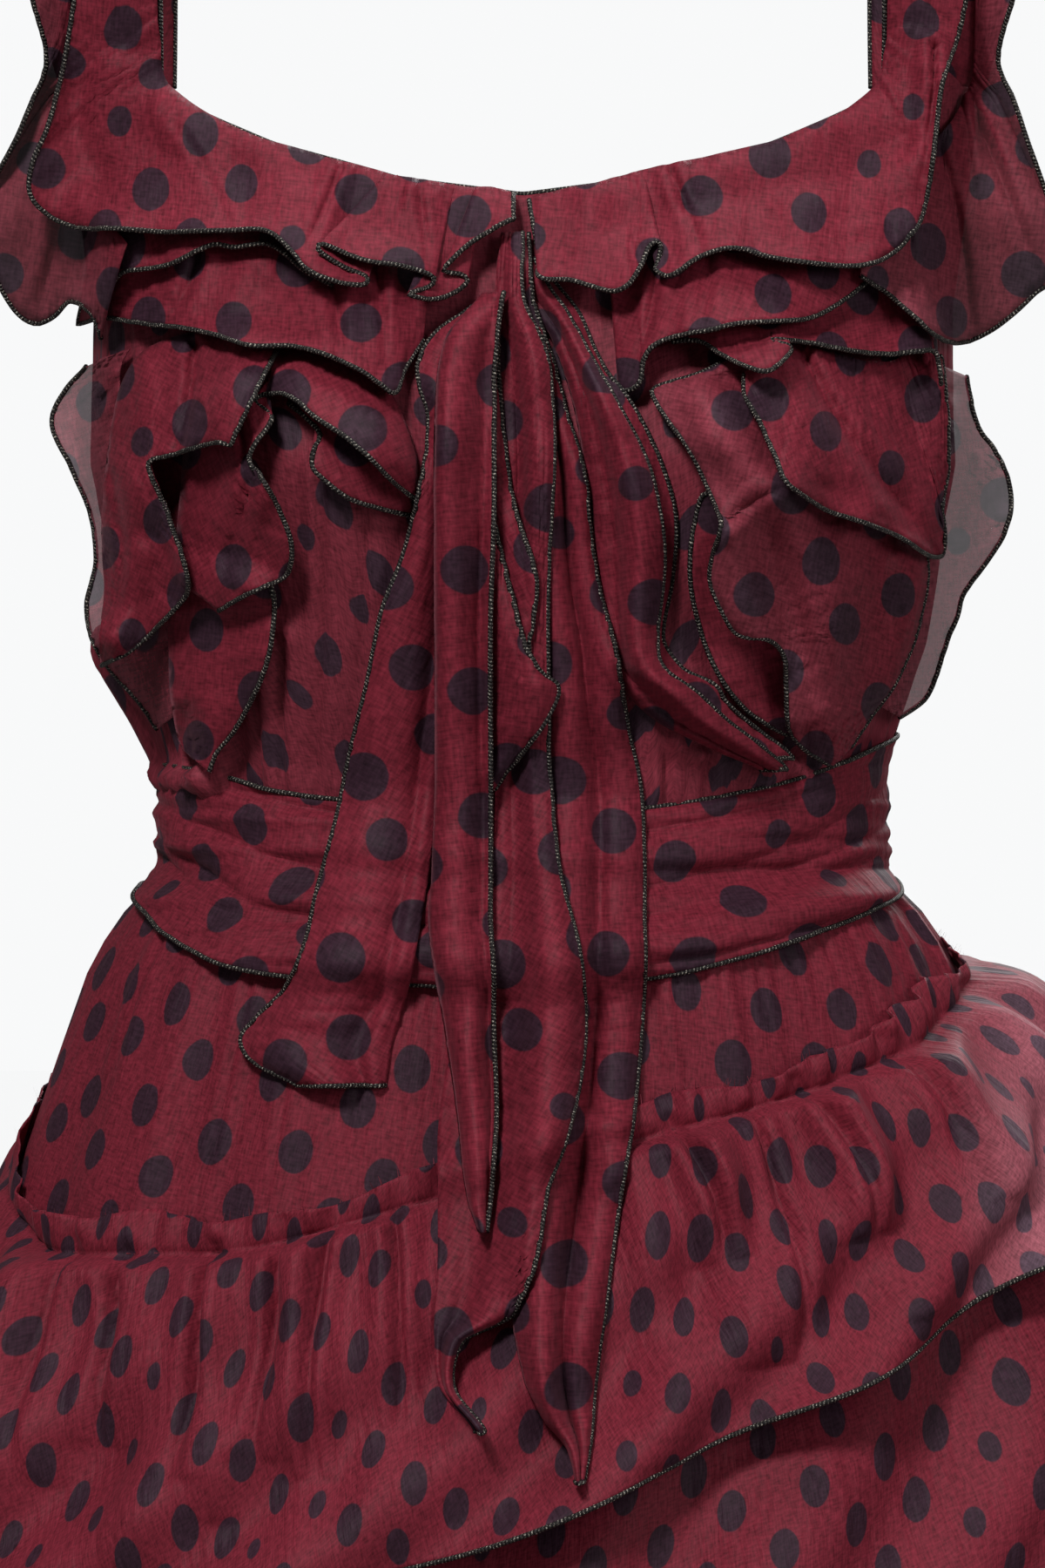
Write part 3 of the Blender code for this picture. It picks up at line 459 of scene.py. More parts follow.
def grid_mesh(name, points, closed, pale, seed, level, fullness):
    """A mesh from a grid of points in mm. Its UV map is in metres along the cloth, true at one level.

    With "chart" as the level the map follows the figure's front. Fullness above 1 is for cloth with finer
    gathers than the mesh.
    """
    rows, columns = points.shape[:2]
    if closed:
        points = np.concatenate([points, points[:, :1]], axis=1)
    if level == "chart":
        chart = space_to_chart(points)
        u, v = fullness * round_the_front(chart[..., 0]), chart[..., 1]
    else:
        true_row = int(rows * level)
        u = fullness * (distances(points[true_row : true_row + 1], 1) + 0 * points[..., 0])
        v = distances(points, 0)
    if closed:
        u, v = evened(u), evened(v)
    draw = np.random.default_rng(seed + 500)
    turn = draw.uniform(-0.5, 0.5)
    shift = draw.uniform(0, 400, 2)
    uv = np.stack([
        u * math.cos(turn) - v * math.sin(turn) + shift[0],
        u * math.sin(turn) + v * math.cos(turn) + shift[1],
    ], axis=-1) * MM
    across = columns + 1 if closed else columns
    corners = np.arange(rows * across).reshape(rows, across)
    a, b = corners[:-1, :-1], corners[:-1, 1:]
    c, d = corners[1:, 1:], corners[1:, :-1]
    quads = np.stack([a, d, c, b], axis=-1).reshape(-1, 4)
    if faces_in(points):
        quads = quads[:, ::-1]
    vertex = (np.arange(across) % columns + columns * np.arange(rows)[:, None]).reshape(-1)
    place = points[:, :columns].reshape(-1, 3)
    mesh = bpy.data.meshes.new(name)
    mesh.from_pydata((place * MM).tolist(), [], vertex[quads].tolist())
    layer = mesh.uv_layers.new(name="cloth")
    layer.data.foreach_set("uv", uv.reshape(-1, 2)[quads.reshape(-1)].astype(np.float32).ravel())
    # The attribute "pale" is painted light: how much light showing through a single layer is painted into the
    # silk as a pinker tone.
    tone = mesh.attributes.new("pale", "FLOAT", "POINT")
    values = np.zeros(len(place)) if pale is None else (pale + 0 * points[:, :columns, 0]).reshape(-1)
    tone.data.foreach_set("value", values.astype(np.float32))
    mesh.shade_smooth()
    return placed(mesh)


def faces_in(points):
    """Whether most of a grid's faces would point at the middle of the body."""
    a, b, d = points[:-1, :-1], points[:-1, 1:], points[1:, :-1]
    normal = np.cross(d - a, b - a)
    centre = np.stack([0 * a[..., 0], 0 * a[..., 1], a[..., 2] - 20], axis=-1)
    return (normal * (a - centre)).sum() < 0


def shell(thing):
    solid = thing.modifiers.new("cloth thickness", "SOLIDIFY")
    solid.thickness = SHELL * MM
    solid.offset = 1
    return thing


def resampled(line, step, closed):
    """Points along a line at an even step."""
    if closed:
        line = np.concatenate([line, line[:1]])
    gone = np.concatenate([[0], np.cumsum(np.linalg.norm(np.diff(line, axis=0), axis=1))])
    at = np.linspace(0, gone[-1], max(int(gone[-1] / step), 2))
    if closed:
        at = at[:-1]
    return np.stack([np.interp(at, gone, line[:, axis]) for axis in range(3)], axis=-1)


EDGE_RADIUS = 0.85
EDGE_SIDES = 6
EDGE_FACE = 0.8
EDGE_STEP = 1.9


def rope(name, line, closed):
    """A rolled edge: a round cord along a line, with UV along it in metres."""
    line = resampled(np.asarray(line), EDGE_STEP, closed)
    if closed:
        ahead = np.roll(line, -1, axis=0) - np.roll(line, 1, axis=0)
    else:
        ahead = np.gradient(line, axis=0)
    ahead /= np.maximum(np.linalg.norm(ahead, axis=1, keepdims=True), 1e-9)
    side = np.cross(ahead, [0.12, -1.0, 0.2])
    side /= np.maximum(np.linalg.norm(side, axis=1, keepdims=True), 1e-9)
    up = np.cross(side, ahead)
    turn = np.linspace(0, 2 * math.pi, EDGE_SIDES, endpoint=False)[None, :, None]
    ring = EDGE_RADIUS * (side[:, None] * np.cos(turn) + up[:, None] * np.sin(turn))
    points = line[:, None] + ring
    count = len(line)
    faces = []
    uvs = []
    for i in range(count if closed else count - 1):
        j = (i + 1) % count
        for k in range(EDGE_SIDES):
            n = (k + 1) % EDGE_SIDES
            faces.append((i * EDGE_SIDES + k, i * EDGE_SIDES + n, j * EDGE_SIDES + n, j * EDGE_SIDES + k))
            low, high = i * EDGE_STEP, (i + 1) * EDGE_STEP
            uvs += [(low, k), (low, k + 1), (high, k + 1), (high, k)]
    if not closed:
        faces.append(tuple(reversed(range(EDGE_SIDES))))
        faces.append(tuple(range((count - 1) * EDGE_SIDES, count * EDGE_SIDES)))
        uvs += [(0, 0)] * (2 * EDGE_SIDES)
    mesh = bpy.data.meshes.new(name)
    mesh.from_pydata((points.reshape(-1, 3) * MM).tolist(), [], faces)
    layer = mesh.uv_layers.new(name="cloth")
    flat = np.array(uvs) * [MM, EDGE_FACE * MM]
    layer.data.foreach_set("uv", flat.astype(np.float32).ravel())
    mesh.shade_smooth()
    mesh.materials.append(EDGE_THREAD)
    return placed(mesh)


# %% [markdown]
# The silk is printed with dots about 15 mm wide, 27 mm apart on a lattice turned by 45 degrees and not quite
# even: a Voronoi pattern with little randomness gives each cell one dot. The weave is fine and a little
# slubby. Where a single layer stands free, painted light stands for the light that shows through it: a pinker
# silk with paler dots, which the attribute "pale" carries. The overlocked edge is black thread with a metal
# strand; its glints are painted, pale golden specks in the thread's colour here and there.

# %% Materials
DOT_PITCH = 0.027
DOT_SHARE = 0.272
RED = (0.168, 0.0155, 0.0285, 1)
LIT_THROUGH_PINK = (0.30, 0.085, 0.110, 1)
PLUM = (0.035, 0.014, 0.024, 1)
LIT_THROUGH_PLUM = (0.14, 0.085, 0.115, 1)
SHEEN = (0.9, 0.32, 0.40, 1)


class Nodes:
    """Short calls for a material's node tree."""

    def __init__(self, name):
        self.material = bpy.data.materials.new(name)
        self.material.use_nodes = True
        self.tree = self.material.node_tree
        self.shader = self.tree.nodes["Principled BSDF"]

    def add(self, kind, settings=(), **inputs):
        node = self.tree.nodes.new(kind)
        for key, value in dict(settings).items():
            setattr(node, key, value)
        self.fill(node, **inputs)
        return node

    def fill(self, node, **inputs):
        for key, value in inputs.items():
            self.feed(node, key.replace("_", " "), value)

    def feed(self, node, key, value):
        socket = node.inputs[int(key)] if key.isdigit() else node.inputs[key]
        if isinstance(value, bpy.types.NodeSocket):
            self.tree.links.new(value, socket)
        else:
            socket.default_value = value

    def math(self, operation, first, second=0.5, third=0.5):
        node = self.tree.nodes.new("ShaderNodeMath")
        node.operation = operation
        for index, value in enumerate((first, second, third)):
            self.feed(node, str(index), value)
        return node.outputs[0]

    def ramp(self, value, low, high):
        """0 below low, 1 above high."""
        node = self.add("ShaderNodeMapRange", {"interpolation_type": "SMOOTHSTEP"}, Value=value)
        self.feed(node, "From Min", low)
        self.feed(node, "From Max", high)
        return node.outputs["Result"]

    def mix(self, factor, first, second):
        node = self.add("ShaderNodeMix", {"data_type": "RGBA"})
        self.feed(node, "0", factor)
        self.feed(node, "6", first)
        self.feed(node, "7", second)
        return node.outputs[2]

    def scaled(self, vector, x, y, turn=0):
        """A vector stretched along two axes and turned by so many degrees."""
        turned = (0, 0, math.radians(turn))
        node = self.add("ShaderNodeMapping", Vector=vector, Scale=(x, y, 1), Rotation=turned)
        return node.outputs["Vector"]

    def cloth_map(self):
        return self.add("ShaderNodeUVMap", {"uv_map": "cloth"}).outputs["UV"]

    def noise(self, vector, scale=1.0, detail=2.0):
        return self.add(
            "ShaderNodeTexNoise", {"noise_dimensions": "2D"}, Vector=vector, Scale=scale, Detail=detail
        ).outputs


def silk(name, alpha):
    n = Nodes(name)
    uv = n.cloth_map()
    moved = n.add("ShaderNodeMix", {"data_type": "VECTOR"})
    n.feed(moved, "0", 0.0009)
    n.feed(moved, "4", uv)
    n.feed(moved, "5", n.noise(uv, 90.0)["Color"])
    lattice = n.scaled(moved.outputs[1], 1 / DOT_PITCH, 1 / DOT_PITCH, turn=45)
    cells = n.add("ShaderNodeTexVoronoi", {"voronoi_dimensions": "2D"}, Vector=lattice, Scale=1.0)
    n.feed(cells, "Randomness", 0.27)
    own = n.add("ShaderNodeSeparateColor", Color=cells.outputs["Color"])
    small = n.ramp(own.outputs[0], 0.82, 0.86)
    size = n.math("MULTIPLY_ADD", own.outputs[1], 0.05, DOT_SHARE - 0.025)
    size = n.math("MULTIPLY_ADD", small, -0.09, size)
    inside = n.math("SUBTRACT", size, cells.outputs["Distance"])
    dots = n.ramp(inside, -0.012, 0.016)
    # Painted light: the attribute "pale" mixes in a pinker ground and paler dots, for light showing through a
    # single layer.
    pale = n.add("ShaderNodeAttribute", {"attribute_name": "pale"}).outputs["Fac"]
    cloud = n.noise(uv, 28.0)["Fac"]
    weft = n.noise(n.scaled(uv, 1000, 240))["Fac"]
    warp = n.noise(n.scaled(uv, 240, 1100))["Fac"]
    slub = n.math("ADD", weft, warp)
    tone = n.math("MULTIPLY_ADD", cloud, 0.30, n.math("SUBTRACT", slub, 0.15))
    ground = n.mix(pale, RED, LIT_THROUGH_PINK)
    print_colour = n.mix(n.math("MULTIPLY", pale, 0.6), PLUM, LIT_THROUGH_PLUM)
    colour = n.mix(dots, ground, print_colour)
    toned = n.add("ShaderNodeVectorMath", {"operation": "SCALE"})
    n.feed(toned, "0", colour)
    n.feed(toned, "Scale", tone)
    n.feed(n.shader, "Base Color", toned.outputs[0])
    wrinkle = n.noise(n.scaled(uv, 170, 34), detail=4.0)["Fac"]
    crumple = n.noise(uv, 55.0, detail=3.0)["Fac"]
    folds = n.math("MULTIPLY_ADD", crumple, 0.7, wrinkle)
    soft = n.add("ShaderNodeBump", Height=folds, Strength=0.45, Distance=0.0018)
    fine = n.add("ShaderNodeBump", Height=slub, Strength=0.25, Distance=0.00018, Normal=soft.outputs[0])
    n.fill(n.shader, Normal=fine.outputs[0], Roughness=0.60, Alpha=alpha)
    n.fill(n.shader, Sheen_Weight=0.08, Sheen_Roughness=0.4, Sheen_Tint=SHEEN)
    n.fill(n.shader, Specular_IOR_Level=0.13)
    return n.material


def overlock(name):
    n = Nodes(name)
    uv = n.cloth_map()
    slanted = n.scaled(uv, 900, 480, turn=28)
    turns = n.add("ShaderNodeTexWave", {"wave_type": "BANDS"}, Vector=slanted, Scale=0.32, Distortion=1.6)
    band = turns.outputs["Fac"]
    # Painted glints: pale golden specks put into the thread's colour where the metal strand would catch the
    # light.
    glint = n.ramp(n.noise(n.scaled(uv, 1500, 1900))["Fac"], 0.56, 0.66)
    painted_glints = n.math("MULTIPLY", glint, n.ramp(band, 0.35, 0.75))
    thread = n.mix(band, (0.005, 0.004, 0.004, 1), (0.030, 0.026, 0.024, 1))
    colour = n.mix(n.math("MULTIPLY", painted_glints, 0.8), thread, (0.55, 0.50, 0.42, 1))
    bump = n.add("ShaderNodeBump", Height=band, Strength=0.7, Distance=0.0005).outputs[0]
    n.fill(n.shader, Base_Color=colour, Normal=bump, Roughness=0.6, Specular_IOR_Level=0.25)
    return n.material


def raw_thread(name):
    n = Nodes(name)
    fluff = n.noise(n.scaled(n.cloth_map(), 900, 900))["Fac"]
    colour = n.mix(fluff, (0.075, 0.010, 0.017, 1), (0.26, 0.045, 0.065, 1))
    n.fill(n.shader, Base_Color=colour, Roughness=0.8, Specular_IOR_Level=0.1)
    return n.material


SILK = silk("spotted silk", alpha=1.0)
SHEER = silk("spotted silk, one layer", alpha=0.72)
FLOATING = silk("spotted silk, standing free", alpha=0.92)
EDGE_THREAD = overlock("overlocked edge")
RAW_THREAD = raw_thread("raw silk thread")

# %% [markdown]
# Every piece goes through one call: it gets its silk, a thickness and its rolled edges, rides on the gown's
# one body and stands for its CAD node.

# %% Finishing a piece
made = {}


def own_seed(name):
    """A seed for a piece's own creases, from the letters of its name."""
    return sum(ord(letter) for letter in name)


def finish_piece(name, points, material, edges=(), closed=False, pale=None, node="",
                 level=0.6, fullness=1.0):
    """A grid of cloth made into a piece. edges are lists of points, in mm."""
    thing = shell(grid_mesh(f"{name}_silk", points, closed, pale, own_seed(name), level, fullness))
    thing.data.materials.append(material)
    ropes = []
    for index, line in enumerate(edges):
        ring = closed and len(line) == points.shape[1]
        ropes.append(rope(f"{name}_edge_{index + 1}", line, ring))
    for part in [thing, *ropes]:
        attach(part, "root")
    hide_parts(node or name)
    made[name] = (thing, ropes, points)


def outward(points, distance):
    """The grid moved along its own normal, away from the body."""
    down = np.gradient(points, axis=0)
    along = np.gradient(points, axis=1)
    normal = np.cross(down, along)
    normal /= np.maximum(np.linalg.norm(normal, axis=-1, keepdims=True), 1e-9)
    if faces_in(points):
        return points - normal * distance
    return points + normal * distance


def lifted(points):
    """The outer face in the chart's own direction, for the relief."""
    chart = space_to_chart(points)
    chart[..., 2] += SHELL + 0.1
    return chart_to_space(chart)


# Ribs of a flounce, from its sewn edge to its hem. Lap counts the folds of the same strip under that rib.
Rib = namedtuple("Rib", "top_across top_run hem_across hem_run stand lap", defaults=[0])
LAP_RISE = 1.5
FOLD_DEPTH = 1.45


def flounce(name, ribs, material=SILK, pitch=9.0, crease=0.9, wave=1.6, belly=0.0, edges="hem", pale=None,
            step=1.75, folds=(), node=""):
    """A ruffle from ribs, laid on what is there: flat where it is sewn on, standing off towards its hem."""
    at = np.linspace(0, len(ribs) - 1, 40 * len(ribs))
    hem = np.stack([through(column(ribs, "hem_across"), at), through(column(ribs, "hem_run"), at)], axis=-1)
    gone = np.concatenate([[0], np.cumsum(np.linalg.norm(np.diff(hem, axis=0), axis=1) + 0.05)])
    at = np.interp(np.linspace(0, gone[-1], max(int(gone[-1] / step), 8)), gone, at)
    read = {field: through(column(ribs, field), at) for field in Rib._fields}
    length = np.hypot(read["hem_across"] - read["top_across"], read["hem_run"] - read["top_run"])
    down = np.linspace(0, 1, max(int(length.mean() / step), 8))[:, None]
    across = read["top_across"] * (1 - down) + read["hem_across"] * down
    run = read["top_run"] * (1 - down) + read["hem_run"] * down
    along = np.linspace(0, gone[-1], len(at))[None, :] + 0 * down
    seed = own_seed(name)
    stand = read["stand"] * down**1.35 + belly * np.sin(math.pi * down)
    stand = stand + read["lap"] * LAP_RISE
    stand = stand + creases(along, down, seed, pitch, pitch * 0.3, 1.4 * crease)
    stand = stand + ripples(along, down, seed + 1, wave) + FOLD_DEPTH * drawn(folds, across, run)
    points = relief.lay(np.stack([across, run, stand], axis=-1))
    relief.add(lifted(points))
    finish_piece(name, points, material, piece_edges(points, edges), pale=tone_of(pale, along, down),
                 node=node, level="chart")


def piece_edges(points, names):
    """Lines along a grid's named sides. "corner" is its first side and its hem as one line."""
    middle = outward(points, SHELL / 2)
    start, hem = middle[:, 0], middle[-1]
    corner = np.concatenate([start, hem[1:]])
    lines = {"start": start, "end": middle[:, -1], "top": middle[0], "hem": hem, "corner": corner}
    return [lines[name] for name in names.split()]


def tone_of(pale, along, down):
    """How pale the silk is over the sheet, painted light showing through it, from two numbers: at the sewn
    edge and at the hem.
    """
    if pale is None:
        return None
    low, high = pale
    return low + (high - low) * down + 0 * along


# %% [markdown]
# The bodice is a front and two backs, whose seam is the back's middle. The silk is laid over the figure in
# soft upright gathers, deepest above the waist, where the sash draws them in.

# %% Bodice and straps
Edge = namedtuple("Edge", "angle drop")
BODICE_TOP = [
    Edge(0, 145),
    Edge(15, 140),
    Edge(30, 128),
    Edge(42, 113),
    Edge(48, 98),
    Edge(66, 98),
    Edge(72, 124),
    Edge(78, 155),
    Edge(90, 186),
    Edge(102, 160),
    Edge(108, 128),
    Edge(114, 98),
    Edge(132, 98),
    Edge(138, 118),
    Edge(150, 134),
    Edge(165, 146),
    Edge(180, 151),
]
BODICE_END = 349.8
SIDE_SEAM = -0.12
BACK_SEAM = -0.08
STRAP_INNER = 118
STRAP_OUTER = 149
STRAP_SLOPE = 8
BODICE_FOLDS = [
    Crease(-63, 236, -69, 352, 6, 6.0, 1, 2),
    Crease(-76, 290, -75, 352, 6, 6.0, 1, -1),
    Crease(-50, 240, -56, 345, 6, 5.0, 1, 2),
    Crease(-86, 296, -84, 352, 5, 5.0, 1, 2),
    Crease(-127, 286, -116, 334, 5, 13.0, 0, -4),
    Crease(-99, 336, -120, 334, 4, 11.0, 0, 0),
    Crease(-97, 342, -97, 290, 5, 8.0, 0, 0),
    Crease(-134, 300, -118, 350, 4, 5.0, 1, -3),
    Crease(-40, 345, -42, 260, 5, 4.0, 1, 0),
    Crease(46, 352, 40, 250, 6, 5.0, 1, 0),
    Crease(44, 300, 104, 344, 6, 6.0, 1, 5),
    Crease(50, 322, 112, 346, 5, 5.0, 1, 3),
    Crease(58, 350, 60, 262, 6, 4.0, 1, 0),
    Crease(122, 340, 138, 262, 6, 6.0, 1, -3),
    Crease(131, 330, 143, 280, 5, 4.0, 1, -2),
    Crease(75, 352, 76, 318, 5, 4.0, 1, 0),
    Crease(96, 352, 100, 322, 5, 4.0, 1, 0),
]


def bodice():
    # The front's pale of 0.12 gives all of it a little of the painted-light pinker tone.
    panels = [
        ("bodice_front", -90 + SIDE_SEAM, 90 - SIDE_SEAM, 210, 0.12),
        ("bodice_back_right", 90 + SIDE_SEAM, 180 - BACK_SEAM, 84, 0.0),
        ("bodice_back_left", -180 + BACK_SEAM, -90 - SIDE_SEAM, 84, 0.0),
    ]
    for name, start, end, columns, pale in panels:
        angle = np.linspace(start, end, columns)[None, :]
        top = read_table(BODICE_TOP, "angle", "drop", np.abs(angle))
        share = np.linspace(0, 1, 76)[:, None]
        drop = top + (BODICE_END - top) * share
        angle = angle + 0 * drop
        along = angle * 2.2
        seed = own_seed(name)
        fold = creases(along, 1 - share + 0 * along, seed, 6.0, 2.6, 3.2, reach=1.1, slant=26)
        across = figure_point(angle, drop, 0)[..., 0]
        if name == "bodice_front":
            fold = 0.6 * fold + drawn(BODICE_FOLDS, across, drop)
        fold = fold * np.clip((angle - start) / 5, 0, 1) * np.clip((end - angle) / 5, 0, 1)
        inside = np.clip(share * 9, 0, 1) * np.clip((1 - share) * 16, 0, 1)
        lift = 0.8 + np.clip(fold, -0.6, 14.0) * inside
        points = figure_point(angle, drop, lift)
        relief.add(figure_point(angle, drop, lift + SHELL))
        edge = points[:1].reshape(-1, 3)
        finish_piece(name, points, SILK, [edge], pale=pale, fullness=1.15)


def straps():
    for name, side in (("strap_left", -1), ("strap_right", 1)):
        across = np.linspace(STRAP_INNER, STRAP_OUTER, 18)[None, :]
        turn = np.linspace(math.radians(6), math.radians(170), 96)[:, None]
        run = AXIS_DROP - TURN_RADIUS * turn + 0 * across
        share = (across - STRAP_INNER) / (STRAP_OUTER - STRAP_INNER)
        level = 55 - 24 * share
        top = AXIS_DROP - STRAP_SLOPE * share
        height = np.hypot(level * np.cos(turn), top * np.sin(turn)) + 0.4
        points = chart_to_space(np.stack([side * across + 0 * run, run, height], axis=-1))
        relief.add(lifted(points))
        finish_piece(name, points, SILK, piece_edges(points, "start end"))


bodice()
straps()
print(len(made), "pieces so far")

# %% [markdown]
# The skirt is a plain flared base with tiers gathered on to it. The upper tiers slant from the viewer's
# right down to the left, and each falls in soft leaning waves that grow towards its hem. The first tier's top
# edge is left raw above its stitching: it stands off in small tucks and frays.

# %% Skirt
TIER_SEAM = [
    Edge(-180, 412),
    Edge(-135, 428),
    Edge(-90, 456),
    Edge(-60, 489),
    Edge(-30, 487),
    Edge(-10, 469),
    Edge(17, 447),
    Edge(43, 429),
    Edge(64, 413),
    Edge(90, 392),
    Edge(135, 396),
    Edge(180, 412),
]
TIER_HEM = [
    Edge(-180, 515),
    Edge(-135, 560),
    Edge(-90, 592),
    Edge(-50, 604),
    Edge(-6, 582),
    Edge(8, 560),
    Edge(16, 545),
    Edge(32, 524),
    Edge(46, 500),
    Edge(56, 482),
    Edge(75, 468),
    Edge(90, 464),
    Edge(135, 480),
    Edge(180, 515),
]
Flare = namedtuple("Flare", "angle more")
TIER_FLARE = [
    Flare(-180, 1.1),
    Flare(-90, 0.9),
    Flare(0, 0.85),
    Flare(45, 1.1),
    Flare(80, 1.7),
    Flare(100, 1.7),
    Flare(135, 1.3),
    Flare(180, 1.1),
]
SKIRT_START = 350.2
SKIRT_END = 1374
TIER_WAVES = 14
TIER_HEADER = 11
HEADER_ROWS = 8
TIER_LAP = 42
STITCH_PITCH = 2.8
STITCH_SHARE = 0.64
STITCH_WIDTH = 0.45
FRAY_COUNT = 300
FRAY_WIDTH = 0.32
Tier = namedtuple("Tier", "name hem slant flare wave columns rows closer")
FIRST_TIER = Tier("tier_1", 530, 1.0, 26, 7, 480, 66, 32)
LOWER_TIERS = [
    Tier("tier_2", 640, 0.9, 30, 8, 264, 36, 16),
    Tier("tier_3", 795, 0.6, 34, 9, 264, 28, 16),
    Tier("tier_4", 1010, 0.3, 38, 11, 264, 32, 16),
    Tier("tier_5", 1380, 0.0, 34, 13, 264, 40, 16),
]
TIER_FOLDS = [
    Crease(-151, 495, -159, 592, 10, 8.0, 0, 3),
    Crease(-137, 484, -144, 560, 9, 7.0, 1, -2),
    Crease(-123, 486, -126, 548, 8, 6.5, 1, 2),
    Crease(-111, 486, -110, 590, 9, 5.0, 0, 2),
    Crease(-95, 484, -99, 556, 8, 7.5, 1, 2),
    Crease(-86, 482, -86, 570, 7, 4.0, 0, -3),
    Crease(-73, 475, -77, 550, 8, 7.0, 1, 2),
    Crease(-66, 474, -63, 590, 8, 4.0, 0, 3),
    Crease(-57, 469, -60, 556, 8, 7.5, 1, -2),
    Crease(-47, 466, -44, 590, 9, 5.0, 0, 2),
    Crease(-41, 461, -36, 540, 7, 6.0, 1, 2),
    Crease(33, 447, 41, 552, 9, 6.0, 0, 3),
    Crease(46, 444, 59, 488, 8, 8.0, 1, 2),
    Crease(56, 441, 68, 520, 9, 6.0, 0, -3),
    Crease(69, 440, 79, 520, 7, 5.0, 1, 3),
    Crease(84, 431, 99, 480, 8, 8.5, 1, 3),
    Crease(93, 428, 110, 506, 9, 7.0, 0, -4),
    Crease(111, 418, 125, 470, 8, 7.0, 1, 3),
    Crease(122, 414, 142, 492, 9, 6.0, 0, -3),
    Crease(138, 402, 158, 462, 7, 6.0, 1, 2),
    Crease(150, 398, 172, 470, 7, 6.0, 1, 2),
]
BASE_FOLDS = [
    Crease(46, 384, 50, 436, 4, 3.0, 1, 1),
    Crease(58, 382, 66, 428, 4, 3.5, 1, 1),
    Crease(70, 380, 80, 424, 4, 3.0, 1, 1),
    Crease(79, 378, 96, 424, 4, 4.0, 1, 1),
    Crease(90, 377, 110, 418, 4, 4.0, 1, 1),
    Crease(99, 374, 124, 408, 4, 4.0, 1, 1),
    Crease(106, 370, 134, 400, 4, 3.5, 1, 1),
    Crease(-48, 392, -56, 460, 5, 3.5, 1, 1),
    Crease(-66, 392, -80, 470, 5, 3.5, 1, -1),
    Crease(-84, 384, -104, 470, 5, 4.0, 1, 1),
    Crease(-98, 378, -124, 460, 5, 4.0, 1, 1),
    Crease(-108, 374, -138, 440, 5, 4.0, 1, -1),
]


def ring_angles(columns, closer=32):
    """Angles round the body, closer together at the front, where small folds need a finer mesh."""
    even = np.linspace(-180, 180, columns, endpoint=False)[None, :]
    return even - closer * np.sin(np.radians(even))


def hill(angle, middle, width):
    """A soft hill round one angle, 1 at its top."""
    return np.exp(-(((angle - middle) / width) ** 2))


def round_table(table, name, angle):
    """A column read round the body along a smooth line that closes on itself."""
    key = column(table, "angle")
    value = column(table, name)
    even = np.linspace(-180, 180, 440, endpoint=False)
    slack = np.interp(even, key, value)
    kernel = np.hanning(31)
    kernel /= kernel.sum()
    ring = np.convolve(np.concatenate([slack[-60:], slack, slack[:60]]), kernel, mode="same")[60:-60]
    return np.interp(angle[0], even, ring, period=360)[None, :]


def skirt_wave(angle, drop):
    depth = np.interp(drop, [SKIRT_START, 420, SKIRT_END], [0.2, 1.5, 9.0])
    return depth * (1 + np.cos(np.radians(angle) * TIER_WAVES))


def round_creases(angle, down, seed, count, width, depth, reach, slant):
    """Creases round a closed piece: the first and last tenth fade out, so its ends meet."""
    along = angle / 180.0
    fade = np.clip((1 - np.abs(along)) * 10, 0, 1)
    return fade * creases(along * 400, down, seed, 800 / count, width, depth, reach, slant)


def skirt_base():
    angle = ring_angles(360)
    down = np.linspace(0, 1, 48)[:, None] ** 1.6
    drop = SKIRT_START + (SKIRT_END - SKIRT_START) * down + 0 * angle
    angle = angle + 0 * drop
    lift = skirt_wave(angle, drop) + 0.4
    near = np.clip((drop - SKIRT_START) / 30, 0, 1)
    gathers = round_creases(angle, down * 4, 21, 110, 2.6, 2.0, 1.2, 12)
    across = figure_point(angle, drop, 0)[..., 0]
    gathers = gathers + np.where(np.abs(angle) < 90, drawn(BASE_FOLDS, across, drop), 0)
    lift = lift + near * np.clip(gathers, -0.3, 3.2)
    points = figure_point(angle, drop, lift)
    relief.add(figure_point(angle, drop, lift + SHELL), closed=True)
    finish_piece("skirt_base", points, SILK, piece_edges(points, "hem"), closed=True, level=0.2,
                 fullness=1.25)


def stitch_row(line):
    """Short straight stitches along a closed line, each a strip: start, end and half its width."""
    line = resampled(line, STITCH_PITCH, closed=True)
    ahead = STITCH_SHARE * (np.roll(line, -1, axis=0) - line)
    return [(start, start + stitch, STITCH_WIDTH / 2) for start, stitch in zip(line, ahead)]


def frays(line, angle):
    """Loose threads that stand off a raw edge, longest where the edge turns up at the left side."""
    draw = np.random.default_rng(8)
    strips = []
    for _ in range(FRAY_COUNT):
        at = draw.integers(0, len(line))
        long = draw.uniform(1.0, 3.2) + 5 * hill(angle[at], -86, 7) * draw.uniform(0.4, 1)
        out = line[at] * [1, 1, 0]
        out = out / np.linalg.norm(out)
        way = 0.5 * out * draw.uniform(-0.2, 1) + [0, 0, 1] + draw.uniform(-0.5, 0.5, 3) * [1, 1, 0]
        strips.append((line[at], line[at] + long * way / np.linalg.norm(way), FRAY_WIDTH / 2))
    return strips


def add_threads(name, what, strips):
    """Strips of raw thread as one mesh, which belongs to the piece that they are on."""
    places = []
    for start, end, half in strips:
        side = np.cross(end - start, start * [1, 1, 0])
        side = half * side / np.linalg.norm(side)
        places += [start - side, end - 0.4 * side, end + 0.4 * side, start + side]
    quads = [tuple(range(index, index + 4)) for index in range(0, len(places), 4)]
    mesh = bpy.data.meshes.new(f"{name}_{what}")
    mesh.from_pydata((np.array(places) * MM).tolist(), [], quads)
    layer = mesh.uv_layers.new(name="cloth")
    layer.data.foreach_set("uv", (np.array(places)[:, :2] * MM).astype(np.float32).ravel())
    mesh.materials.append(RAW_THREAD)
    thing = placed(mesh)
    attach(thing, "root")
    _, parts, _ = made[name]
    parts.append(thing)


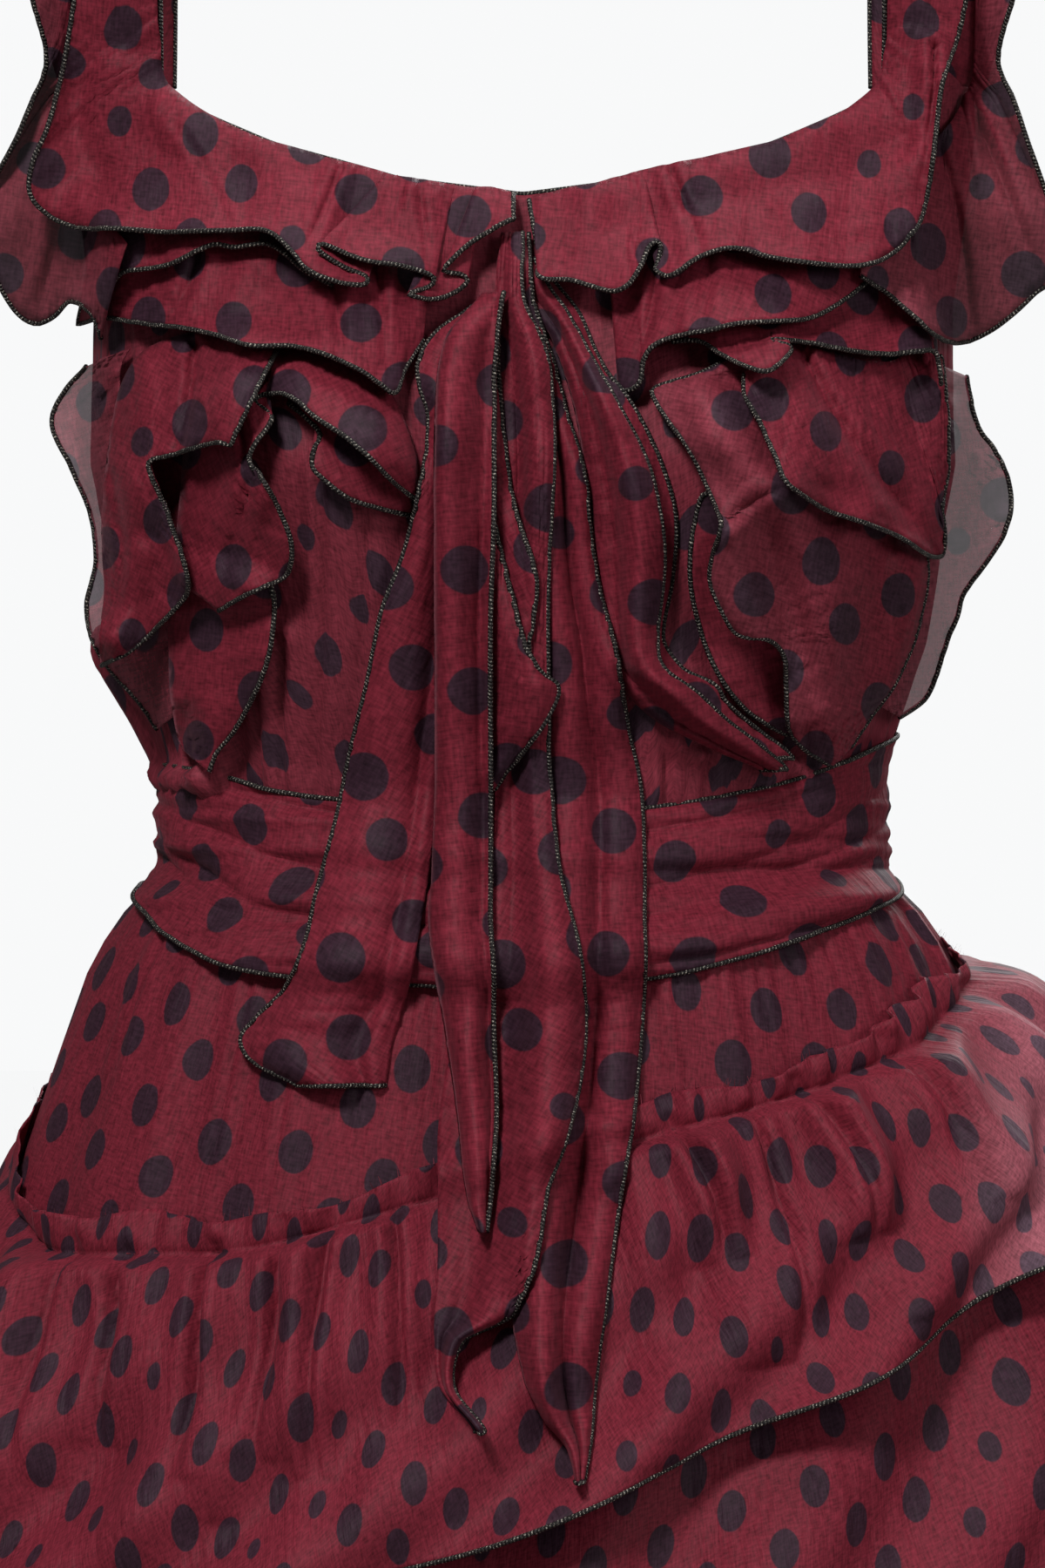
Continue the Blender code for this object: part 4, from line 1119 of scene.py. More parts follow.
def raw_header(angle, seam):
    """The strip above the first tier's seam: its drops and how far it stands off, top row first."""
    tuck = np.linspace(0, 1, HEADER_ROWS + 1)[:-1, None]
    turn = np.radians(angle)
    tall = TIER_HEADER * (1 + 0.22 * np.sin(turn * 7 + 1) + 0.12 * np.sin(turn * 23))
    tall = tall + 9 * hill(angle, -84, 5) + 5 * hill(angle, 60, 3)
    tall = tall * (1 - 0.6 * hill(angle, 96, 20))
    calm = 1 - 0.8 * hill(np.abs(angle), 90, 24)
    top = seam - tall * (1 - tuck)
    flutter = 1.7 * np.sin(turn * 61) + 1.3 * np.sin(turn * 97 + 1)
    flutter = calm * (flutter + 1.6 * np.sin(turn * 31 + 2))
    flutter = flutter * (1 + 0.7 * hill(angle, 42, 22))
    flutter = flutter + 5 * hill(angle, -60, 8) + 2.2 * (0.35 + 0.65 * calm)
    roll = 0.5 * calm * np.sin(math.pi * tuck)
    lift = skirt_wave(angle, top) + WALL + 1.9 + np.maximum(flutter, 0) * (1 - tuck) ** 0.7 + roll
    return top, lift


def tier(spec, seam, hem, header=False):
    """One tier, from its seam to its hem. The first one has a raw header, listed folds and stitches."""
    angle = ring_angles(spec.columns, spec.closer)
    share = np.linspace(0, 1, spec.rows)[:, None]
    drop = seam + (hem - seam) * share
    phase = len(spec.name) + spec.hem * 0.01
    wave = spec.wave * share**0.8 * (1 + np.cos(np.radians(angle) * TIER_WAVES + phase * share))
    more = read_table(TIER_FLARE, "angle", "more", angle)
    lift = skirt_wave(angle, drop) + WALL + 1.8 + spec.flare * more * share ** (0.9 / more) + wave
    if header:
        top, standing = raw_header(angle, drop[:1])
        drop = np.concatenate([top, drop])
        lift = np.concatenate([standing, lift])
        share = np.concatenate([np.zeros((HEADER_ROWS, 1)), share])
    angle = angle + 0 * drop
    seed = int(spec.hem)
    gathered = round_creases(angle, share + 0 * angle, seed, 150, 2.6, 2.4, 0.6, 14)
    soft = round_creases(angle, share + 0 * angle, seed + 1, 44, 9.0, 6.0, 1.3, 18)
    gathered = np.clip(gathered, -0.5, 2.5) * np.clip(share * 20, 0.25, 1)
    gathered = gathered + np.clip(soft, -1.0, 7.0) * share**0.7
    if header:
        across = figure_point(angle, drop, 0)[..., 0]
        by_hand = np.where(np.abs(angle) < 90, drawn(TIER_FOLDS, across, drop), 0)
        gathered = np.maximum(0.5 * gathered + 2.0 * by_hand * np.clip(share * 30, 0.2, 1), -0.8)
        gathered = gathered + 1.3 * np.sin(0.5 * math.pi * np.clip(share * 16, 0, 1))
    lift = lift + gathered
    points = figure_point(angle, drop, lift)
    relief.add(figure_point(angle, drop, lift + SHELL), closed=True)
    # Painted light: the first tier's far right front gets a pinker tone, for light showing through its single
    # layer.
    lit_through_right = np.clip((points[..., 0] - 138) / 30, 0, 1) * np.clip(-points[..., 1] / 40, 0, 1)
    finish_piece(spec.name, points, SILK, piece_edges(points, "hem"), closed=True,
                 fullness=1.65 if header else 1.35, pale=lit_through_right if header else None)
    if header:
        face = outward(points, SHELL + 0.2)
        add_threads(spec.name, "stitches", stitch_row(face[HEADER_ROWS]))
        add_threads(spec.name, "frays", frays(face[0], angle[0]))


def skirt():
    skirt_base()
    angle = ring_angles(FIRST_TIER.columns, FIRST_TIER.closer)
    seam = round_table(TIER_SEAM, "drop", angle)
    first_hem = round_table(TIER_HEM, "drop", angle)
    tier(FIRST_TIER, seam, first_hem, header=True)
    angle = ring_angles(LOWER_TIERS[0].columns, LOWER_TIERS[0].closer)
    first_hem = round_table(TIER_HEM, "drop", angle)
    hem_above = first_hem
    for spec in LOWER_TIERS:
        hem = spec.hem + spec.slant * (first_hem - FIRST_TIER.hem)
        tier(spec, hem_above - TIER_LAP, hem)
        hem_above = hem


skirt()

# %% [markdown]
# The sash is a wide soft band wound round the waist. It lies in level folds that slant a little and run
# into each other, as a scarf does when it is pulled tight.

# %% Sash
SASH_TOP = [
    Edge(-180, 325),
    Edge(-90, 328),
    Edge(-55, 332),
    Edge(-37, 340),
    Edge(0, 345),
    Edge(18, 345),
    Edge(43, 337),
    Edge(70, 323),
    Edge(90, 319),
    Edge(180, 325),
]
SASH_END = [
    Edge(-180, 372),
    Edge(-90, 369),
    Edge(-70, 375),
    Edge(-50, 388),
    Edge(-37, 397),
    Edge(0, 402),
    Edge(18, 398),
    Edge(43, 384),
    Edge(60, 376),
    Edge(90, 367),
    Edge(180, 372),
]
# Folds of the sash: how far down each lies from the top edge (0) to the bottom edge (1), at the left side,
# the middle and the right side, and how wide and high it is.
Fold = namedtuple("Fold", "left middle right width rise")
SASH_FOLDS = [
    Fold(0.03, 0.04, 0.06, 0.07, 4.0),
    Fold(0.22, 0.30, 0.24, 0.18, 9.5),
    Fold(0.47, 0.52, 0.46, 0.15, 9.0),
    Fold(0.62, 0.70, 0.63, 0.09, 6.0),
    Fold(0.84, 0.80, 0.82, 0.15, 9.0),
    Fold(0.97, 0.96, 0.96, 0.05, 4.0),
]


def sash():
    angle = ring_angles(360)
    share = np.linspace(0, 1, 50)[:, None]
    top = round_table(SASH_TOP, "drop", angle)
    end = round_table(SASH_END, "drop", angle)
    drop = top + (end - top) * share
    rolls = 0 * drop
    for index, fold in enumerate(SASH_FOLDS):
        stops = [fold.middle, fold.left, fold.middle, fold.right, fold.middle]
        place = np.interp(angle, [-180, -90, 0, 90, 180], stops)
        place = place + 0.025 * np.sin(np.radians(angle) * 3 + index)
        height = fold.rise * (0.75 + 0.3 * np.sin(np.radians(angle) * 2 + index * 1.7))
        away = np.clip(np.abs(share - place) / fold.width, 0, 1)
        rolls = np.maximum(rolls, height * np.sqrt(1 - away**2))
    rolls = rolls * (1 - 0.6 * hill(np.abs(angle), 90, 24))
    angle = angle + 0 * drop
    pulls = creases(drop, (angle + 180) / 360 + 0 * drop, 77, 2.5, 1.6, 1.5, reach=1.3, slant=26)
    lift = 2.2 + np.interp(drop, [320, 350, 402], [0.8, 0.3, 3.4]) + 0.85 * rolls
    lift = lift + np.clip(pulls, -0.8, 1.6) * np.clip(np.cos(np.radians(angle) / 2) * 3, 0, 1)
    points = figure_point(angle, drop, lift)
    relief.add(figure_point(angle, drop, lift + SHELL), closed=True)
    face = outward(points, SHELL)
    finish_piece("sash", points, SILK, [face[0], face[-1]], closed=True)


sash()
print(len(made), "pieces so far")

# %% [markdown]
# The small ruffles come first, because the larger ones lie on them. Each is a table of ribs, from its sewn
# edge to its hem. Where the strip doubles back on itself, the ribs turn back too and the lap count goes up.

# %% Side ruffles
SIDE_RUFFLE_LEFT = [
    Rib(-128, 194, -144, 198, 3),
    Rib(-131, 200, -152, 206, 8),
    Rib(-131, 210, -156, 217, 10),
    Rib(-129, 222, -149, 232, 12),
    Rib(-126, 238, -143, 246, 7),
    Rib(-122, 253, -141, 262, 8),
    Rib(-118, 268, -144, 279, 9),
    Rib(-114, 283, -137, 296, 7),
    Rib(-110, 297, -126, 309, 5),
    Rib(-107, 309, -120, 318, 3),
]
SIDE_RUFFLE_RIGHT = [
    Rib(130, 197, 147, 201, 4),
    Rib(131, 203, 148, 207, 7),
    Rib(131, 210, 151, 218, 9),
    Rib(131, 217, 156, 225, 9),
    Rib(131, 225, 160, 233, 11),
    Rib(130, 234, 162, 242, 11),
    Rib(128, 244, 160, 252, 10),
    Rib(126, 254, 154, 262, 9),
    Rib(124, 264, 146, 273, 7),
    Rib(122, 273, 144, 280, 8),
    Rib(120, 282, 140, 290, 6),
    Rib(118, 292, 137, 300, 6),
    Rib(116, 301, 133, 308, 5),
    Rib(114, 309, 124, 314, 3),
]
SIDE_FOLDS = [
    Crease(132, 204, 152, 244, 4, 5.0, 1, 3),
    Crease(160, 226, 136, 268, 5, 6.0, 1, -3),
    Crease(160, 248, 134, 262, 4, 5.0, 1, 2),
    Crease(128, 262, 142, 296, 5, 4.0, 1, 2),
    Crease(-132, 204, -150, 232, 5, 4.0, 1, -2),
    Crease(-124, 250, -140, 280, 5, 4.0, 1, 2),
]
# The side ruffles' pale tone, stronger towards the hem, is painted light showing through the single layer.
flounce("side_ruffle_left", SIDE_RUFFLE_LEFT, SHEER, pale=(0.15, 0.6), crease=0.6, folds=SIDE_FOLDS)
flounce("side_ruffle_right", SIDE_RUFFLE_RIGHT, SHEER, pale=(0.1, 0.75), crease=0.6, folds=SIDE_FOLDS)

# %% [markdown]
# At the bust each side has three ruffles that curl over each other. They drape in wide soft folds with sharp
# turned corners.

# %% Bust ruffles
BUST_UNDER_RIGHT = [
    Rib(72, 236, 57, 244, 3),
    Rib(74, 252, 54, 260, 5),
    Rib(76, 272, 54, 273, 6),
    Rib(82, 286, 57, 286, 6),
    Rib(90, 298, 62, 299, 6),
    Rib(97, 308, 70, 310, 5),
    Rib(103, 316, 78, 316, 4),
    Rib(108, 322, 86, 320, 3),
]
BUST_INNER_RIGHT = [
    Rib(82, 196, 64, 201, 4),
    Rib(80, 200, 56, 205, 7),
    Rib(80, 206, 43, 209, 8),
    Rib(86, 211, 42, 212, 9),
    Rib(94, 218, 46, 219, 10),
    Rib(104, 226, 53, 229, 10),
    Rib(114, 236, 58, 239, 11),
    Rib(123, 246, 63, 253, 12),
    Rib(129, 254, 61, 262, 10),
    Rib(132, 263, 60, 271, 10),
    Rib(132, 272, 64, 281, 11),
    Rib(130, 281, 69, 288, 10),
    Rib(128, 289, 79, 290, 10),
    Rib(125, 296, 84, 295, 9),
    Rib(121, 304, 85, 305, 9),
    Rib(116, 311, 86, 317, 7),
    Rib(111, 318, 92, 325, 6),
    Rib(107, 324, 101, 330, 3),
]
BUST_INNER_RIGHT_FOLDS = [
    Crease(84, 244, 97, 316, 9, 11.0, 0, 5),
    Crease(108, 256, 102, 322, 8, 9.0, 0, -3),
    Crease(66, 258, 86, 300, 7, 8.0, 0, -4),
    Crease(60, 226, 82, 250, 8, 7.0, 0, 3),
    Crease(122, 262, 116, 312, 6, 6.0, 0, 3),
    Crease(96, 262, 98, 304, 5, 4.0, 1, 0),
    Crease(66, 252, 84, 242, 6, 5.0, 1, 2),
    Crease(56, 214, 70, 240, 6, 4.0, 0, 2),
    Crease(112, 270, 108, 318, 7, 5.0, 0, 3),
    Crease(126, 268, 117, 306, 6, 4.0, 0, 3),
]
BUST_OUTER_RIGHT = [
    Rib(82, 192, 71, 205, 5),
    Rib(86, 193, 71, 212, 7),
    Rib(90, 194, 75, 220, 9),
    Rib(94, 195, 80, 232, 11),
    Rib(98, 196, 83, 240, 12),
    Rib(102, 197, 88, 244, 13),
    Rib(106, 198, 98, 249, 13),
    Rib(110, 199, 112, 253, 14),
    Rib(114, 199, 121, 256, 13),
    Rib(118, 199, 133, 262, 12),
    Rib(121, 198, 138, 259, 11),
    Rib(123, 197, 137, 245, 11),
    Rib(125, 196, 139, 233, 11),
    Rib(126, 194, 139, 221, 10),
    Rib(127, 191, 138, 208, 8),
    Rib(128, 187, 137, 196, 6),
]
BUST_OUTER_RIGHT_FOLDS = [
    Crease(88, 194, 137, 262, 11, 7.0, 1, -4),
    Crease(78, 204, 96, 240, 7, 4.0, 0, 2),
    Crease(112, 196, 128, 232, 12, 4.0, 0, 0),
    Crease(124, 236, 136, 256, 8, 3.0, 0, 0),
]
BUST_OUTER_LEFT_FOLDS = [
    Crease(-90, 196, -104, 238, 9, 8.0, 0, 2),
    Crease(-106, 194, -114, 240, 7, 7.0, 1, 2),
    Crease(-122, 200, -120, 254, 9, 8.0, 0, -3),
    Crease(-122, 240, -112, 272, 9, 6.0, 0, 2),
    Crease(-134, 236, -132, 284, 7, 5.0, 1, 3),
    Crease(-124, 262, -134, 292, 7, 4.0, 0, 0),
]
BUST_INNER_LEFT_FOLDS = [
    Crease(-92, 214, -90, 256, 7, 6.0, 1, 3),
    Crease(-84, 236, -96, 272, 7, 6.0, 1, -2),
    Crease(-76, 222, -84, 250, 6, 4.0, 0, 2),
    Crease(-48, 226, -38, 240, 7, 3.0, 0, 0),
]
BUST_LOWER_LEFT = [
    Rib(-113, 264, -83, 269, 5),
    Rib(-114, 274, -80, 275, 8),
    Rib(-115, 284, -80, 285, 9),
    Rib(-115, 294, -82, 296, 10),
    Rib(-115, 304, -86, 306, 9),
    Rib(-114, 313, -93, 318, 7),
    Rib(-113, 320, -99, 325, 5),
    Rib(-111, 325, -102, 332, 4),
]
BUST_OUTER_LEFT = [
    Rib(-77, 193, -93, 228, 8),
    Rib(-86, 191, -98, 227, 10),
    Rib(-96, 190, -104, 228, 12),
    Rib(-106, 190, -112, 230, 13),
    Rib(-116, 192, -120, 232, 14),
    Rib(-125, 197, -119, 238, 13),
    Rib(-131, 207, -115, 247, 12),
    Rib(-134, 220, -111, 258, 11),
    Rib(-136, 234, -108, 268, 10),
    Rib(-137, 244, -108, 274, 9),
    Rib(-138, 251, -113, 280, 10),
    Rib(-138, 257, -122, 288, 11),
    Rib(-138, 262, -130, 294, 12),
    Rib(-137, 268, -138, 297, 8),
]
BUST_INNER_LEFT = [
    Rib(-34, 232, -34, 245, 5),
    Rib(-37, 222, -41, 240, 9),
    Rib(-41, 213, -48, 233, 12),
    Rib(-46, 206, -56, 226, 13),
    Rib(-52, 200, -65, 220, 13),
    Rib(-59, 196, -73, 213, 11),
    Rib(-66, 195, -79, 211, 9),
    Rib(-74, 195, -86, 213, 8),
    Rib(-84, 198, -80, 219, 9),
    Rib(-94, 202, -85, 227, 9),
    Rib(-101, 209, -87, 233, 10),
    Rib(-106, 217, -82, 240, 11),
    Rib(-109, 226, -77, 250, 12),
    Rib(-110, 236, -74, 258, 13),
    Rib(-111, 246, -74, 265, 12),
    Rib(-112, 254, -77, 270, 10),
    Rib(-113, 260, -88, 275, 9),
    Rib(-114, 268, -98, 280, 6),
]
# The second layer of the inner ruffle on the left shows below the first one's hem.
BUST_SECOND_LEFT = [
    Rib(-38, 226, -35, 250, 3),
    Rib(-44, 220, -45, 248, 5),
    Rib(-50, 215, -55, 245, 7),
    Rib(-56, 211, -62, 240, 8),
    Rib(-61, 207, -67, 235, 8),
    Rib(-65, 204, -67, 230, 8),
    Rib(-69, 202, -65, 226, 7),
    Rib(-73, 201, -66, 222, 6),
    Rib(-77, 202, -75, 214, 4),
]
flounce("bust_ruffle_right_under", BUST_UNDER_RIGHT, belly=2.0, edges="corner")
# The inner right ruffle's pale tone towards its hem is painted light showing through the silk.
flounce("bust_ruffle_right_inner", BUST_INNER_RIGHT, belly=6.0, pale=(0.0, 0.25), wave=0.8, edges="hem top",
        folds=BUST_INNER_RIGHT_FOLDS)
flounce("bust_ruffle_right_outer", BUST_OUTER_RIGHT, belly=4.0, wave=1.0, pitch=14, crease=1.2,
        folds=BUST_OUTER_RIGHT_FOLDS)
flounce("bust_ruffle_left_lower", BUST_LOWER_LEFT, belly=3.0, wave=1.0)
flounce("bust_ruffle_left_second", BUST_SECOND_LEFT, belly=2.0, wave=0.6, node="bust_ruffle_left_inner")
flounce("bust_ruffle_left_inner", BUST_INNER_LEFT, belly=4.0, wave=1.0, pitch=12, crease=1.2,
        folds=BUST_INNER_LEFT_FOLDS)
flounce("bust_ruffle_left_outer", BUST_OUTER_LEFT, belly=4.0, wave=1.2, pitch=14, crease=1.2, edges="corner",
        folds=BUST_OUTER_LEFT_FOLDS)

# %% [markdown]
# Under the neckline lie second and third flounces, wider apart, whose hems swing down towards the middle.

# %% Second flounces
LOW_FLOUNCE_RIGHT = [
    Rib(50, 170, 48, 194, 6),
    Rib(56, 169, 57, 194, 8),
    Rib(64, 168, 64, 199, 10, 1),
    Rib(70, 167, 71, 203, 10, 1),
    Rib(76, 167, 77, 205, 9, 1),
    Rib(80, 167, 82, 202, 8, 1),
    Rib(84, 167, 86, 196, 8, 1),
    Rib(79, 167, 79, 194, 8),
    Rib(88, 167, 90, 194, 9),
    Rib(98, 166, 103, 196, 11),
    Rib(109, 165, 117, 197, 11),
    Rib(119, 166, 128, 196, 11),
    Rib(126, 168, 134, 196, 9),
    Rib(130, 172, 136, 206, 6),
]
SECOND_FLOUNCE_RIGHT = [
    Rib(27, 160, 31, 209, 5),
    Rib(31, 160, 34, 210, 8),
    Rib(35, 159, 38, 207, 10),
    Rib(39, 158, 39, 200, 12),
    Rib(44, 157, 43, 195, 13),
    Rib(50, 155, 52, 192, 13),
    Rib(58, 152, 60, 191, 12),
    Rib(67, 150, 68, 189, 11),
    Rib(78, 148, 79, 188, 10),
    Rib(90, 146, 89, 187, 9),
    Rib(99, 144, 97, 184, 7),
    Rib(106, 143, 106, 178, 6),
    Rib(112, 142, 114, 171, 4),
]
SECOND_FLOUNCE_LEFT = [
    Rib(-138, 150, -147, 184, 4),
    Rib(-133, 150, -141, 183, 8),
    Rib(-125, 152, -134, 184, 10),
    Rib(-115, 154, -125, 186, 12),
    Rib(-104, 156, -109, 189, 12),
    Rib(-92, 158, -98, 192, 12),
    Rib(-81, 160, -87, 196, 12),
    Rib(-70, 161, -74, 196, 12),
    Rib(-60, 162, -63, 199, 12),
    Rib(-50, 163, -52, 204, 12),
    Rib(-42, 164, -46, 208, 11),
    Rib(-36, 165, -41, 211, 9),
    Rib(-32, 166, -38, 203, 5),
    Rib(-29, 166, -32, 193, 3),
]
UNDER_FLOUNCE_LEFT = [
    Rib(-136, 141, -137, 179, 4),
    Rib(-131, 140, -135, 175, 6),
    Rib(-126, 139, -130, 170, 7),
    Rib(-118, 138, -123, 169, 8),
    Rib(-110, 138, -114, 168, 8),
    Rib(-102, 138, -105, 164, 8),
    Rib(-96, 139, -99, 162, 8),
    Rib(-90, 140, -93, 163, 8),
    Rib(-82, 141, -83, 162, 7),
    Rib(-76, 142, -77, 165, 6),
    Rib(-70, 143, -70, 171, 5),
    Rib(-62, 144, -61, 176, 4),
]
SECOND_LEFT_FOLDS = [
    Crease(-104, 160, -116, 188, 7, 6.0, 1, 2),
    Crease(-86, 162, -98, 190, 8, 4.0, 0, 0),
    Crease(-66, 164, -58, 200, 8, 5.0, 1, 2),
    Crease(-128, 158, -140, 184, 6, 4.0, 1, 0),
    Crease(-48, 168, -44, 202, 6, 4.0, 1, 1),
]
SECOND_RIGHT_FOLDS = [
    Crease(44, 160, 38, 200, 6, 5.0, 1, 1),
    Crease(60, 160, 56, 190, 9, 4.0, 1, 1),
    Crease(88, 150, 98, 184, 8, 4.0, 0, 0),
]
flounce("low_flounce_right", LOW_FLOUNCE_RIGHT, belly=2.0, wave=0.8)
flounce("second_flounce_right", SECOND_FLOUNCE_RIGHT, belly=3.0, wave=0.6, folds=SECOND_RIGHT_FOLDS)
flounce("second_flounce_left", SECOND_FLOUNCE_LEFT, belly=3.0, wave=1.4, pitch=12, crease=1.6, edges="corner",
        folds=SECOND_LEFT_FOLDS)
flounce("under_flounce_left", UNDER_FLOUNCE_LEFT, belly=1.5, wave=0.8)

# %% [markdown]
# From the middle of the neckline long strips fall to the hip. They are gathered at the top and hang free, so
# each is a table of rows from the top to its tip, with soft upright pleats. The edges that show are
# overlocked.

# %% Falls
Row = namedtuple("Row", "drop left right stand")
FALL_RIGHT_SHORT = [
    Row(166, -2, 4, 0),
    Row(177, -1, 9, 2),
    Row(184, 4, 14, 3),
    Row(191, 9, 18, 4),
    Row(205, 14, 25, 5),
    Row(216, 17, 31, 6),
    Row(227, 19, 37, 6),
    Row(237, 20, 41, 7),
    Row(245, 22, 43, 7),
    Row(258, 23, 45, 7),
    Row(269, 24, 45, 7),
    Row(290, 26, 43, 7),
    Row(299, 28, 45, 7),
    Row(307, 34, 56, 7),
    Row(316, 44, 66, 6),
    Row(325, 62, 78, 5),
    Row(332, 78, 86, 4),
]
FALL_RIGHT_LONG = [
    Row(158, -5, 2, 0),
    Row(179, -6, 3, 2),
    Row(188, -3, 6, 3),
    Row(201, 0, 10, 4),
    Row(220, 3, 15, 5),
    Row(237, 4, 20, 6),
    Row(258, 4, 22, 6),
    Row(275, 4, 25, 6),
    Row(292, 4, 30, 6),
    Row(319, 4, 34, 6),
    Row(337, 4, 38, 5),
    Row(360, 3, 39, 5),
    Row(378, 2, 39, 5),
    Row(400, 1, 39, 6),
    Row(438, 0, 36, 8),
    Row(468, -1, 31, 9),
    Row(504, -3, 26, 9),
    Row(525, 1, 23, 8),
    Row(537, 7, 22, 7),
    Row(545, 14, 21, 6),
    Row(556, 17, 19, 5),
]
FALL_CENTRE = [
    Row(158, -7, 0, 0),
    Row(180, -9, 0, 2),
    Row(196, -8, 7, 3),
    Row(207, -7, 9, 4),
    Row(228, -6, 10, 5),
    Row(252, -6, 9, 5),
    Row(273, -8, 8, 5),
    Row(301, -9, 8, 5),
    Row(336, -9, 9, 4),
    Row(365, -10, 12, 4),
    Row(389, -14, 18, 5),
    Row(413, -20, 20, 6),
    Row(432, -25, 18, 6),
    Row(448, -27, 14, 7),
    Row(464, -27, 8, 7),
    Row(488, -27, 4, 7),
    Row(505, -28, -4, 7),
    Row(512, -28, -19, 7),
    Row(527, -26, -22, 6),
    Row(540, -15, -12, 5),
]
FALL_CURL = [
    Row(186, -13, -10, 0),
    Row(225, -13, -10, 1),
    Row(252, -13, -9, 2),
    Row(270, -12, -5, 3),
    Row(281, -12, -2, 4),
    Row(292, -12, 1, 4),
    Row(301, -12, 6, 4),
    Row(304, -12, 11, 4),
    Row(308, -12, 11, 4),
    Row(318, -12, 6, 4),
    Row(325, -12, 1, 3),
    Row(332, -12, -5, 3),
    Row(338, -13, -9, 2),
]
FALL_CURL_INNER = [
    Row(190, -11, -8, 0),
    Row(215, -11, -7, 1),
    Row(241, -10, -4, 2),
    Row(252, -10, -1, 2),
    Row(268, -8, 4, 2),
    Row(280, -5, 4, 2),
    Row(292, -2, 2, 2),
    Row(300, 0, 2, 1),
]
FALL_RIGHT_UNDER = [
    Row(170, 0, 8, 1),
    Row(184, 8, 18, 3),
    Row(200, 14, 25, 4),
    Row(216, 20, 36, 5),
    Row(232, 24, 44, 5),
    Row(250, 28, 49, 5),
    Row(270, 30, 48, 5),
    Row(290, 30, 45, 5),
    Row(300, 32, 52, 5),
    Row(304, 36, 62, 5),
    Row(310, 44, 66, 4),
    Row(320, 58, 78, 4),
    Row(328, 76, 88, 3),
]
FALL_LEFT = [
    Row(182, -16, -9, 0),
    Row(190, -27, -11, 4),
    Row(199, -33, -13, 5),
    Row(208, -33, -14, 6),
    Row(217, -30, -15, 6),
    Row(232, -31, -16, 7),
    Row(246, -34, -16, 7),
    Row(262, -38, -18, 7),
    Row(280, -45, -20, 7),
    Row(304, -50, -23, 7),
    Row(328, -56, -26, 7),
    Row(347, -60, -28, 6),
    Row(370, -66, -31, 6),
    Row(388, -70, -34, 7),
    Row(403, -77, -37, 8),
    Row(413, -87, -40, 8),
    Row(419, -91, -42, 8),
    Row(426, -86, -43, 8),
    Row(433, -72, -44, 7),
]
FALL_LEAF = [
    Row(178, -13, -6, 0),
    Row(184, -18, -7, 2),
    Row(192, -24, -8, 4),
    Row(204, -27, -9, 6),
    Row(225, -28, -9, 7),
    Row(252, -28, -9, 7),
    Row(283, -28, -10, 7),
    Row(336, -28, -10, 6),
    Row(367, -29, -10, 6),
    Row(380, -30, -10, 6),
    Row(396, -28, -9, 6),
    Row(413, -25, -9, 7),
    Row(440, -21, -8, 7),
    Row(458, -19, -9, 6),
    Row(470, -17, -10, 6),
    Row(478, -14, -11, 5),
]


# How a fall is pleated across: heights at even places from its left edge to its right.
ONE_ROLL = [0.15, 0.75, 1.0, 0.9, 0.55, 0.1]
LEAF_ROLL = [0.1, 0.85, 1.05, 0.95, 0.6, 0.05, 0.3]
BROAD_PANEL = [0.55, 0.8, 0.95, 0.9, 0.75, 0.45, 0.1, 0.3, 0.05]
CENTRE_ROLLS = [0.0, 0.1, 0.05, 0.3, 0.95, 1.15, 0.95, 0.45]
LONG_ROLLS = [0.3, 0.75, 1.1, 1.1, 0.75, 0.05, 0.45, 0.6, 0.5, 0.1]
SHORT_ROLLS = [0.0, 0.3, 0.1, 0.7, 1.0, 0.7, 0.35]
PLEAT_DEPTH = 1.7


def hanging(name, rows, profile, edges, node=""):
    """A fall from rows, laid on what is there: pleated across, flat at its sewn top."""
    key = column(rows, "drop")
    drop = np.arange(key[0], key[-1] + 1, 1.9)
    at = np.interp(drop, key, np.arange(len(key)))
    read = {field: through(column(rows, field), at)[:, None] for field in ("left", "right", "stand")}
    wide = (read["right"] - read["left"]).max()
    share = np.linspace(0, 1, max(int(wide / 1.25), 14))[None, :]
    across = read["left"] + (read["right"] - read["left"]) * share
    run = drop[:, None] + 0 * share
    seed = own_seed(name)
    level = (run - key[0]) / (key[-1] - key[0])
    drift = 0.05 * np.sin(level * 5 + seed) * np.sin(math.pi * share)
    pleat = through(np.array(profile), (share + drift) * (len(profile) - 1))
    stand = PLEAT_DEPTH * read["stand"] * np.maximum(pleat, 0)
    stand = stand + creases(share * wide + 0 * run, level, seed, 5.0, 2.0, 0.6, reach=1.2, slant=9)
    points = relief.lay(np.stack([across, run, stand], axis=-1))
    relief.add(lifted(points))
    finish_piece(name, points, SILK, piece_edges(points, edges), node=node, level="chart")


hanging("fall_right_short_under", FALL_RIGHT_UNDER, ONE_ROLL, "end hem", node="fall_right_short")
hanging("fall_right_short", FALL_RIGHT_SHORT, SHORT_ROLLS, "end hem")
hanging("fall_right_long", FALL_RIGHT_LONG, LONG_ROLLS, "end hem")
hanging("fall_centre", FALL_CENTRE, CENTRE_ROLLS, "end hem")
hanging("fall_curl_inner", FALL_CURL_INNER, ONE_ROLL, "end", node="fall_curl")
hanging("fall_curl", FALL_CURL, ONE_ROLL, "end")
hanging("fall_left", FALL_LEFT, BROAD_PANEL, "start hem")
hanging("fall_leaf", FALL_LEAF, LEAF_ROLL, "end")
print(len(made), "pieces so far")

# %% [markdown]
# The cap ruffles stand off the shoulders like short sleeves, and the neck flounces lie over everything. Each
# flounce runs from the middle of the front, over a strap, to the middle of the back, with turned-back pleats
# near the front.

